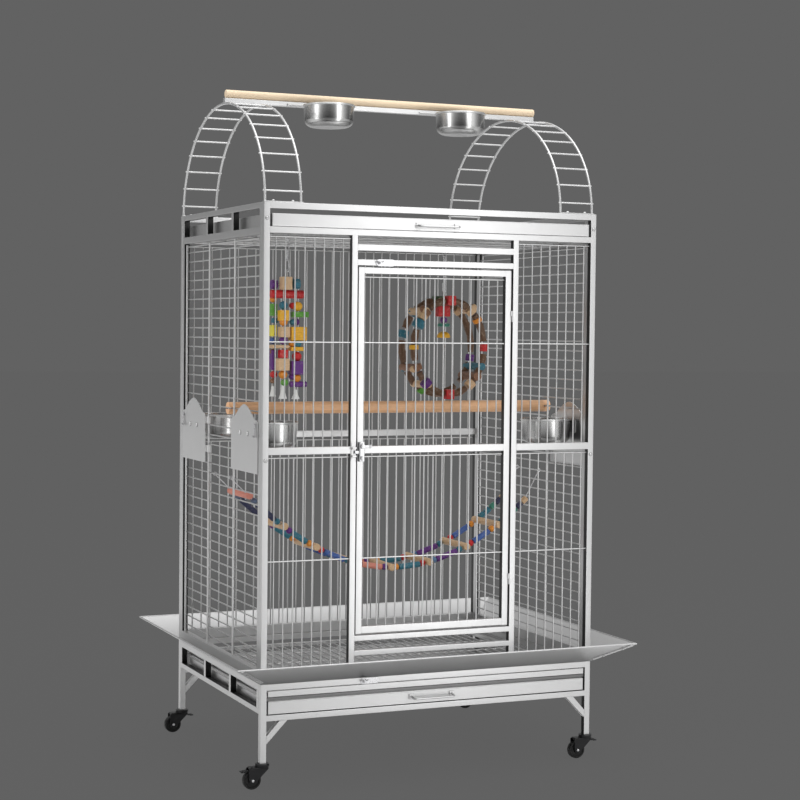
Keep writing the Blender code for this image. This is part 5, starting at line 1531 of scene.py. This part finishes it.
class CAGE_OT_casters(bpy.types.Operator):
    """Builds the four casters with their brakes"""

    bl_idname = "cage.casters"
    bl_label = "Casters"

    def execute(self, context):
        casters = context.scene.cage_casters
        nylon = moulded("caster_nylon", casters.nylon, 0.36)
        tread = moulded("caster_tread", casters.tread, 0.5, 700.0)
        bright = zinc_plate("axle_zinc", context.scene.cage_steel.zinc_colour)
        for label, sx, sy, side in (
            ("front_left", -1, -1, -1), ("front_right", 1, -1, 1),
            ("rear_left", -1, 1, 1), ("rear_right", 1, 1, 1),
        ):
            x, y = sx * CASTER_X, sy * CASTER_Y
            fork(label, nylon, x, y)
            wheel(label, tread, x, y)
            axle_cap(label, bright, x, y)
            pedal(label, nylon, x, y, side)
        return {"FINISHED"}


def chain(name, node, paint, x, y, top, bottom, count):
    """A chain: a ring round a roof rod, then long links turned a quarter from one to the next."""
    shape = Shape()
    first = top - RING_DROP - 0.0050
    drop = (first - bottom) / count
    ring = circle((x, y, top - RING_DROP), 0.0059, (0, 1, 0), (0, 0, 1))
    wire(shape, ring, 0.0012, (1, 0, 0), 10, loop=True)
    turn = np.linspace(0.0, 2 * math.pi, 24, endpoint=False)
    for i in range(count):
        middle = first - drop * (i + 0.5)
        across = 0.0042 * np.cos(turn)
        rise = (drop * 0.5 - 0.0030) * np.sign(np.sin(turn)) + 0.0036 * np.sin(turn) + middle
        flat = np.zeros(24)
        steps = (flat + x, y + across, rise) if i % 2 else (x + across, flat + y, rise)
        wire(shape, np.stack(steps, axis=1), 0.0013, (1, 0, 0) if i % 2 else (0, 1, 0), 10, loop=True)
    shape.piece(name, node, paint, node)


def eye(shape, x, y, top, dye):
    """The wire eye of a toy in the last link of its chain."""
    path = circle((x, y, top + 0.0010), 0.0050, (0, 1, 0), (0, 0, 1))
    wire(shape, path, 0.0011, (1, 0, 0), 10, loop=True, dye=dye)


def block(shape, centre, size, dye):
    """A block with eased edges."""
    lo = [c - s / 2 for c, s in zip(centre, size)]
    hi = [c + s / 2 for c, s in zip(centre, size)]
    tube(shape, lo, hi, 0.0022, dye)


def bell(shape, x, y, top, height, radius, dye):
    """A bell: its wall flares as a power of the height and turns in at the lip."""
    t = np.linspace(0.0, 1.0, 9)
    outside = np.stack([0.0035 + (radius - 0.0035) * t**1.6, top - height * t], axis=1)
    inside = np.stack([outside[::-1, 0] - 0.0012, outside[::-1, 1] + 0.0006], axis=1)
    profile = np.concatenate([[[0.0, top + 0.002]], [[0.0028, top + 0.0015]], outside, inside])
    turned(shape, profile, (x, y, 0.0), steps=28, dye=dye)


def hang_blocks(wood, cord, bright, zinc, toys, natural):
    """The block toy: three strings of blocks, bars, discs and beads with bells below."""
    left, middle, right = TOY_X - 0.032, TOY_X - 0.013, TOY_X + 0.021
    back, fore, mid = TOY_Y + 0.012, TOY_Y - 0.010, TOY_Y
    shape = Shape()
    blocks = (
        (middle + 0.006, fore, 1.166, 0.026, 0.026, 0.032, natural),
        (left, back, 1.100, 0.016, 0.020, 0.030, toys.green),
        (middle, fore, 1.086, 0.024, 0.022, 0.026, toys.yellow),
        (right + 0.009, fore, 1.089, 0.042, 0.021, 0.014, toys.green),
        (left, back, 1.048, 0.013, 0.024, 0.028, toys.lemon),
        (middle + 0.002, fore, 1.045, 0.024, 0.026, 0.026, natural),
        (right + 0.004, fore, 1.041, 0.041, 0.026, 0.034, toys.yellow),
        ((left + middle) / 2, mid, 1.0085, 0.046, 0.040, 0.008, natural),
        (right, fore, 1.003, 0.034, 0.030, 0.010, toys.yellow),
        (middle, fore, 0.9905, 0.021, 0.021, 0.021, toys.red),
        (left, back, 0.975, 0.012, 0.024, 0.050, toys.purple),
        (middle - 0.002, fore, 0.964, 0.030, 0.028, 0.030, natural),
        (right + 0.002, fore, 0.956, 0.035, 0.028, 0.034, toys.purple),
    )
    for x, y, z, sx, sy, sz, dye in blocks:
        block(shape, (x, y, FOOT + z), (sx, sy, sz), dye)
    beads = (
        (middle, fore, 1.111, 0.0110, toys.teal),
        (right + 0.003, fore, 1.109, 0.0125, toys.yellow),
        (right - 0.009, fore + 0.004, 1.1105, 0.0085, toys.red),
        (left, back, 1.1265, 0.0090, toys.orange),
        (middle, fore - 0.002, 1.0700, 0.0105, toys.orange),
        (right + 0.002, mid, 1.070, 0.0105, toys.purple),
        (right - 0.010, fore, 1.0695, 0.0080, toys.teal),
        (middle, fore, 1.024, 0.0110, toys.purple),
        (left, back, 1.0225, 0.0090, toys.blue),
        (right + 0.002, fore - 0.003, 1.016, 0.0110, toys.teal),
        (right - 0.011, fore, 1.016, 0.0085, toys.orange),
        (left, back, 0.9950, 0.0080, toys.brown),
        (right + 0.002, fore, 0.984, 0.0125, toys.red),
        (left + 0.001, back - 0.004, 0.9390, 0.0095, toys.red),
        (middle, fore, 0.939, 0.0110, toys.orange),
        (right - 0.010, fore, 0.934, 0.0085, toys.purple),
        (right + 0.002, fore, 0.931, 0.0110, toys.orange),
        (middle + 0.004, fore, 0.919, 0.0095, toys.green),
        (left, back, 0.9230, 0.0070, toys.brown),
    )
    for x, y, z, radius, dye in beads:
        bead(shape, (x, y, FOOT + z), radius, radius * 0.96, dye)
    drum(shape, (left + 0.0015, back, FOOT + 1.163), 0.012, 0.0075, toys.purple, (1, 0, 0))
    drum(shape, (right - 0.002, fore - 0.004, FOOT + 1.165), 0.0125, 0.008, toys.teal, (1, 0, 0))
    drum(shape, ((left + right) / 2 + 0.005, mid, FOOT + 1.139), 0.0105, 0.0425, toys.red, (1, 0, 0))
    drum(shape, (right + 0.006, fore, FOOT + 0.915), 0.0072, 0.022, toys.purple, (1, 0, 0))
    drum(shape, (left + 0.004, back, FOOT + 1.0735), 0.0085, 0.0060, toys.teal, (0, 0, 1))
    shape.piece("toy_blocks", "block_toy", wood, "block_toy")
    strings = Shape()
    white = (0.80, 0.79, 0.76)
    wire(strings, [(left, back, FOOT + 0.898), (left, back, FOOT + 1.145)], 0.0014, dye=white)
    wire(strings, [(middle, fore, FOOT + 0.890), (middle, fore, FOOT + 1.170)], 0.0014, dye=white)
    wire(strings, [(right, fore, FOOT + 0.890), (right, fore, FOOT + 1.160)], 0.0014, dye=white)
    wire(strings, [(left, back, FOOT + 1.163), (middle + 0.004, back, FOOT + 1.1635)], 0.0013, dye=white)
    wire(strings, [(middle + 0.006, mid, FOOT + 1.165), (right, fore, FOOT + 1.166)], 0.0013, dye=white)
    wire(strings, [(TOY_X, mid, FOOT + 1.170), (TOY_X, mid, TOY_TOP - 0.0036)], 0.0014, dye=white)
    strings.piece("toy_cords", "block_toy", cord)
    bells = Shape()
    pale = (0.88, 0.87, 0.84)
    bell(bells, left, back, FOOT + 0.9080, 0.024, 0.0085, pale)
    bell(bells, middle, fore, FOOT + 0.9130, 0.034, 0.0105, pale)
    bell(bells, right, fore, FOOT + 0.9000, 0.022, 0.0110, pale)
    bells.piece("toy_bells", "block_toy", bright)
    hook = Shape()
    eye(hook, TOY_X, TOY_Y, TOY_TOP, white)
    hook.piece("block_toy_eye", "block_toy", zinc)


def hoop(turn, y, grow=0.0):
    """A point of a ring-toy hoop; the turn is in degrees from its right side, going up."""
    a = math.radians(turn)
    across, rise = RING_A + grow, RING_B + grow
    return np.array([RING_X - 0.002 + across * math.cos(a), y, RING_Z + rise * math.sin(a)])


def branch(shape, start, end, y, dye):
    """A stretch of knobbly branch: its radius swells and narrows along the bend."""
    turns = np.linspace(start, end, 9)
    path = np.array([hoop(t, y) for t in turns])
    wobble = 0.0095 + 0.0011 * np.sin(turns * 0.31) + 0.0007 * np.cos(turns * 0.83 + y * 40)
    wire(shape, path, wobble, (0, 1, 0), 14, dye=dye)


def hang_ring(wood, cord, zinc, toys, natural, bark):
    """The ring toy: two hoops of branches, blocks and discs, joined across, with a string inside."""
    fore, back = RING_Y - 0.040, RING_Y + 0.040
    shape = Shape()
    for y, spans in (
        (fore, ((-52, -8), (8, 44), (60, 82), (98, 124), (158, 196), (212, 222), (238, 262), (278, 300))),
        (back, ((-48, -20), (-6, 46), (58, 82), (98, 126), (140, 156), (172, 200), (212, 240), (250, 302))),
    ):
        for start, end in spans:
            branch(shape, start, end, y, bark)
    for turn, y, radius, half, dye in (
        (0, fore, 0.0120, 0.0100, toys.red), (52, fore, 0.0140, 0.0085, natural),
        (150, fore, 0.0165, 0.0110, toys.teal), (140, fore, 0.0130, 0.0075, natural),
        (132, fore, 0.0135, 0.0075, toys.brown), (205, fore, 0.0135, 0.0080, toys.brown),
        (230, fore, 0.0150, 0.0090, toys.purple), (270, fore, 0.0125, 0.0100, toys.red),
        (308, fore, 0.0135, 0.0100, natural), (36, fore, 0.0130, 0.0060, toys.orange),
        (164, back, 0.0150, 0.0100, toys.teal), (206, back, 0.0130, 0.0080, toys.teal),
        (245, back, 0.0135, 0.0080, toys.green), (132, back, 0.0130, 0.0080, toys.teal),
        (52, back, 0.0125, 0.0080, natural), (-13, back, 0.0120, 0.0090, toys.purple),
        (180, fore, 0.0125, 0.0060, toys.yellow),
    ):
        along = hoop(turn + 1, y) - hoop(turn - 1, y)
        drum(shape, hoop(turn, y), radius, half, dye, along, 0.0016)
    for turn, radius, dye, far in (
        (52, 0.0105, natural, natural), (132, 0.0105, natural, toys.brown),
        (205, 0.0105, toys.brown, natural), (322, 0.0120, toys.brown, toys.brown),
        (336, 0.0100, toys.teal, toys.purple), (232, 0.0100, natural, natural),
    ):
        grow = 0.012 if turn in (52, 132, 205) else 0.0
        centre = hoop(turn, RING_Y, grow * 0.3)
        drum(shape, centre, radius, 0.0515, dye, (0, 1, 0))
        bead(shape, hoop(turn, fore - 0.0005, grow), radius * 0.9, 0.009, far, (0, 1, 0), 0.5)
    top = (RING_X, RING_Y, RING_Z + RING_B)
    block(shape, (top[0], fore, top[2]), (0.024, 0.028, 0.026), toys.red)
    block(shape, (top[0], back, top[2]), (0.024, 0.028, 0.026), toys.forest)
    drum(shape, top, 0.0080, 0.030, natural, (0, 1, 0))
    low = (RING_X - 0.0015, RING_Y, RING_Z - RING_B)
    block(shape, (low[0], fore, low[2]), (0.024, 0.026, 0.026), toys.red)
    drum(shape, low, 0.0100, 0.050, toys.brown, (0, 1, 0))
    block(shape, (RING_X - 0.004, RING_Y, RING_Z + 0.098), (0.036, 0.026, 0.029), toys.red)
    bead(shape, (RING_X, RING_Y, RING_Z + 0.074), 0.0098, 0.0095, toys.purple)
    drum(shape, (RING_X, RING_Y, RING_Z + 0.0605), 0.0165, 0.0042, toys.jade)
    t = np.linspace(0.0, math.pi / 2, 7)
    dome = np.stack([0.018 * np.cos(t), 0.029 + 0.014 * np.sin(t)], axis=1)
    cap = np.concatenate([[[0.0, 0.026]], [[0.0176, 0.026]], dome])
    turned(shape, cap, (RING_X, RING_Y, RING_Z), dye=toys.yellow)
    shape.piece("toy_ring", "ring_toy", wood, "ring_toy")
    strings = Shape()
    white = (0.62, 0.60, 0.56)
    wire(strings, [(RING_X, RING_Y, RING_Z + 0.020), (RING_X, RING_Y, RING_Z + RING_B)], 0.0014, dye=white)
    wire(strings, [(RING_X, RING_Y, RING_Z + RING_B), (RING_X, RING_Y, RING_TOP - 0.0036)], 0.0013, dye=white)
    bends = ((0.0, 0.028), (0.004, 0.002), (0.0, -0.018))
    tail = [(RING_X + out, RING_Y, RING_Z + rise) for out, rise in bends]
    wire(strings, bent(tail, 0.02), 0.0010, (0, 1, 0), 8, tips=True, dye=(0.12, 0.09, 0.07))
    strings.piece("ring_cords", "ring_toy", cord)
    hook = Shape()
    eye(hook, RING_X, RING_Y, RING_TOP, white)
    hook.piece("ring_toy_eye", "ring_toy", zinc)


def sag(x):
    """Height of the bridge: lowest a little right of the middle, rising as the square of the distance."""
    u = (x - 0.02) / 0.452
    return BRIDGE_LOW + (BRIDGE_Z - BRIDGE_LOW) * u * u * 0.96


def hang_bridge(wood, bright, toys, natural):
    """The bridge: two sagging strings of beads with cross sticks, hooked to the side panels."""
    shape = Shape()
    sticks = (-0.396, -0.300, -0.211, -0.105, 0.002, 0.112, 0.221, 0.317)
    fills = (
        (toys.dusk, toys.navy, toys.teal),
        (toys.purple, toys.teal, toys.orange),
        (toys.red, toys.blue, toys.teal),
        (toys.purple, toys.salmon, toys.purple),
        (toys.orange, toys.teal, toys.red),
        (toys.sky, toys.purple, toys.teal),
        (toys.red, toys.blue, toys.orange),
    )
    for y in BRIDGE_Y:
        for (x0, x1), (first, middle, last) in zip(zip(sticks, sticks[1:]), fills):
            spans = ((x0 + 0.0165, 0.0078, first), (x1 - 0.0165, 0.0078, last))
            for x, half, dye in spans:
                bead(shape, (x, y, sag(x)), 0.0088, half, dye, slope(x), 0.7, 16)
            a, b = x0 + 0.0245, x1 - 0.0245
            x = (a + b) / 2
            length = 0.5 * math.hypot(b - a, sag(b) - sag(a))
            drum(shape, (x, y, sag(x)), 0.0078, length - 0.0004, middle, slope(x), 0.0012, 16)
        for x, dye in (
            (0.3335, toys.teal), (0.3500, toys.teal), (0.3665, toys.jade),
            (0.3830, toys.navy), (0.3985, natural),
        ):
            drum(shape, (x, y, sag(x)), 0.0082, 0.0088, dye, slope(x), 0.0016, 16)
    for x in sticks:
        tone = natural if x > -0.39 else toys.salmon
        drum(shape, (x, (BRIDGE_Y[0] + BRIDGE_Y[1]) / 2, sag(x)), 0.0094, 0.0795, tone, (0, 1, 0), 0.0016)
    shape.piece("bridge_beads", "bead_bridge", wood, "bead_bridge")
    hooks = Shape()
    for y in BRIDGE_Y:
        span = np.linspace(-0.405, 0.405, 40)
        wire(hooks, np.stack([span, np.full(40, y), sag(span)], axis=1), 0.0012, (0, 1, 0), 8)
        for hand in (-1, 1):
            start = (hand * 0.400, y, sag(hand * 0.400))
            wire(hooks, [start, (hand * (ROW_X - 0.0018), y, BRIDGE_Z - 0.0035)], 0.0013, (0, 1, 0), 10)
            ring = circle((hand * ROW_X, y, BRIDGE_Z), 0.0041, (hand, 0, 0), (0, 0, 1))
            wire(hooks, ring, 0.0012, (0, 1, 0), 10, loop=True)
    hooks.piece("bridge_hooks", "bead_bridge", bright)


def slope(x):
    """The direction of the bridge at x."""
    return (1.0, 0.0, (sag(x + 0.001) - sag(x - 0.001)) / 0.002)


class CAGE_OT_toys(bpy.types.Operator):
    """Builds the block toy, the ring toy with their chains, and the bead bridge"""

    bl_idname = "cage.toys"
    bl_label = "Toys"

    def execute(self, context):
        toys, wood = context.scene.cage_toys, context.scene.cage_wood
        zinc = zinc_plate("toy_zinc", context.scene.cage_steel.zinc_colour)
        dyed = dyed_wood("toy_wood_dyed")
        cord = cotton("toy_cord")
        shell = bell_shell("toy_bell", (0.86, 0.86, 0.84))
        chain("chain_block_toy", "block_toy_chain", zinc, TOY_X, TOY_Y, ROOF_Z, TOY_TOP + 0.001, 3)
        chain("chain_ring_toy", "ring_toy_chain", zinc, RING_X, RING_Y, ROOF_Z, RING_TOP + 0.001, 5)
        hang_blocks(dyed, cord, shell, zinc, toys, wood.natural)
        hang_ring(dyed, cord, zinc, toys, wood.natural, wood.bark)
        hang_bridge(dyed, zinc, toys, wood.natural)
        return {"FINISHED"}


def stage_floor(stage):
    """A pale floor that shows the camera the backdrop's grey and keeps the cage's shadow."""
    mesh = bpy.data.meshes.new("studio_floor")
    reach = 40.0
    square = [(-reach, -reach, 0), (reach, -reach, 0), (reach, reach, 0), (-reach, reach, 0)]
    mesh.from_pydata(square, [], [(0, 1, 2, 3)])
    paint = Paint(bpy.data.materials.new("studio_floor"))
    seen = paint.node("ShaderNodeLightPath", {}, {}).outputs["Is Camera Ray"]
    tone = paint.blend(seen, rgba(stage.floor_colour), rgba(shade(stage.backdrop_colour, 0.08)))
    glow = paint.blend(seen, (0.0, 0.0, 0.0, 1.0), rgba(shade(stage.backdrop_colour, 0.91)))
    settings = {"Base Color": tone, "Roughness": 1.0, "Specular IOR Level": 0.0}
    mesh.materials.append(paint.surface({**settings, "Emission Color": glow, "Emission Strength": 1.0}))
    floor = bpy.data.objects.new("studio_floor", mesh)
    bpy.context.scene.collection.objects.link(floor)


def lamp(name, place, target, width, height, power):
    """A white area lamp aimed at a point."""
    data = bpy.data.lights.new(name, "AREA")
    data.shape = "RECTANGLE"
    data.size, data.size_y = width, height
    data.energy = power
    made = bpy.data.objects.new(name, data)
    made.location = place
    aim = Vector(target) - Vector(place)
    made.rotation_euler = aim.to_track_quat("-Z", "Y").to_euler()
    bpy.context.scene.collection.objects.link(made)


# Brightness round the cage by how far a direction turns from the camera: 1 towards it, 0 away from it
SURROUND = (
    (0.0, 0.30), (0.16, 0.34), (0.30, 0.20), (0.42, 0.16),
    (0.60, 0.45), (0.74, 1.05), (0.84, 0.90), (0.95, 0.28), (1.0, 0.12),
)


def world_light(stage):
    """Soft surround: two bright screens in front, each well to one side of the camera, dim behind and
    beside it, a softer sky overhead, and plain grey where the camera looks.
    """
    world = bpy.data.worlds.new("studio")
    bpy.context.scene.world = world
    paint = Paint(world)
    direction = paint.node("ShaderNodeTexCoord", {}, {}).outputs["Generated"]
    parts = paint.node("ShaderNodeSeparateXYZ", {}, {0: direction})
    across, depth, up = (Term(paint, parts.outputs[i]) for i in range(3))
    level = (1.0 - up * up + 0.01) ** 0.5
    facing = ((across * -math.sin(stage.yaw) - depth * math.cos(stage.yaw)) / level * 0.5 + 0.5).clamped()
    around = paint.ramp(facing, [(place, (glow,) * 3) for place, glow in SURROUND])
    high = ((up - 0.35) * 2.2).clamped()
    glow = paint.blend(high, around, (1.1, 1.1, 1.1, 1.0))
    seen = paint.node("ShaderNodeLightPath", {}, {}).outputs["Is Camera Ray"]
    tone = paint.blend(seen, glow, rgba(stage.backdrop_colour))
    paint.feed(paint.tree.nodes["Background"].inputs["Color"], tone)


def camera(stage):
    """The photograph's camera, from its place, yaw, pitch and roll."""
    yaw, pitch, roll = stage.yaw, stage.pitch, stage.roll
    ahead = Vector((math.sin(yaw) * math.cos(pitch), math.cos(yaw) * math.cos(pitch), -math.sin(pitch)))
    right = Vector((math.cos(yaw), -math.sin(yaw), 0.0))
    up = right.cross(ahead)
    across = math.cos(roll) * right + math.sin(roll) * up
    over = -math.sin(roll) * right + math.cos(roll) * up
    data = bpy.data.cameras.new("camera")
    data.lens = stage.lens
    data.sensor_width = 36.0
    made = bpy.data.objects.new("camera", data)
    turn = Matrix((across, over, -ahead)).transposed().to_4x4()
    made.matrix_world = Matrix.Translation(Vector(stage.camera_place)) @ turn
    bpy.context.scene.collection.objects.link(made)
    bpy.context.scene.camera = made


class CAGE_OT_stage(bpy.types.Operator):
    """Sets the camera, floor, lamps and surround"""

    bl_idname = "cage.stage"
    bl_label = "Stage"

    def execute(self, context):
        stage = context.scene.cage_stage
        context.scene.view_settings.view_transform = "Standard"
        camera(stage)
        stage_floor(stage)
        world_light(stage)
        middle = (0.0, 0.0, 0.85)
        lamp("key_panel", (0.69, -1.95, 1.0), (0.69, 0.0, 1.0), 0.7, 2.6, 11.0)
        lamp("top_panel", (0.3, -0.8, 4.2), middle, 3.0, 3.0, 48.0)
        lamp("left_fill", (-4.4, -0.9, 1.5), middle, 1.4, 2.4, 14.0)
        return {"FINISHED"}


class CAGE_PT_panel(bpy.types.Panel):
    """Lists the settings and steps of the cage"""

    bl_idname = "CAGE_PT_panel"
    bl_label = "Parrot Cage"
    bl_space_type = "VIEW_3D"
    bl_region_type = "UI"
    bl_category = "Parrot Cage"

    def draw(self, context):
        for label in GROUPS:
            group = getattr(context.scene, label)
            box = self.layout.box()
            for name in group.__annotations__:
                box.prop(group, name)
        for step in STEPS:
            self.layout.operator(step.bl_idname)


GROUPS = {
    "cage_steel": CageSteel,
    "cage_wood": CageWood,
    "cage_toys": CageToys,
    "cage_casters": CageCasters,
    "cage_stage": CageStage,
}
STEPS = (
    CAGE_OT_stage,
    CAGE_OT_base,
    CAGE_OT_panels,
    CAGE_OT_aprons,
    CAGE_OT_door,
    CAGE_OT_trays,
    CAGE_OT_feeders,
    CAGE_OT_perches,
    CAGE_OT_play_top,
    CAGE_OT_casters,
    CAGE_OT_toys,
)


def register():
    """Adds the settings, operators and panel to Blender."""
    for name, group in GROUPS.items():
        bpy.utils.register_class(group)
        setattr(bpy.types.Scene, name, PointerProperty(type=group))
    for step in STEPS:
        bpy.utils.register_class(step)
    bpy.utils.register_class(CAGE_PT_panel)


def unregister():
    """Takes them away again."""
    bpy.utils.unregister_class(CAGE_PT_panel)
    for step in reversed(STEPS):
        bpy.utils.unregister_class(step)
    for name, group in GROUPS.items():
        delattr(bpy.types.Scene, name)
        bpy.utils.unregister_class(group)


def corners(box):
    """A box as plain lists."""
    return [[float(v) for v in corner] for corner in box]


def main():
    """Builds every piece in order."""
    register()
    for step in STEPS:
        area, name = step.bl_idname.split(".")
        getattr(getattr(bpy.ops, area), name)()


if __name__ == "__main__":
    main()
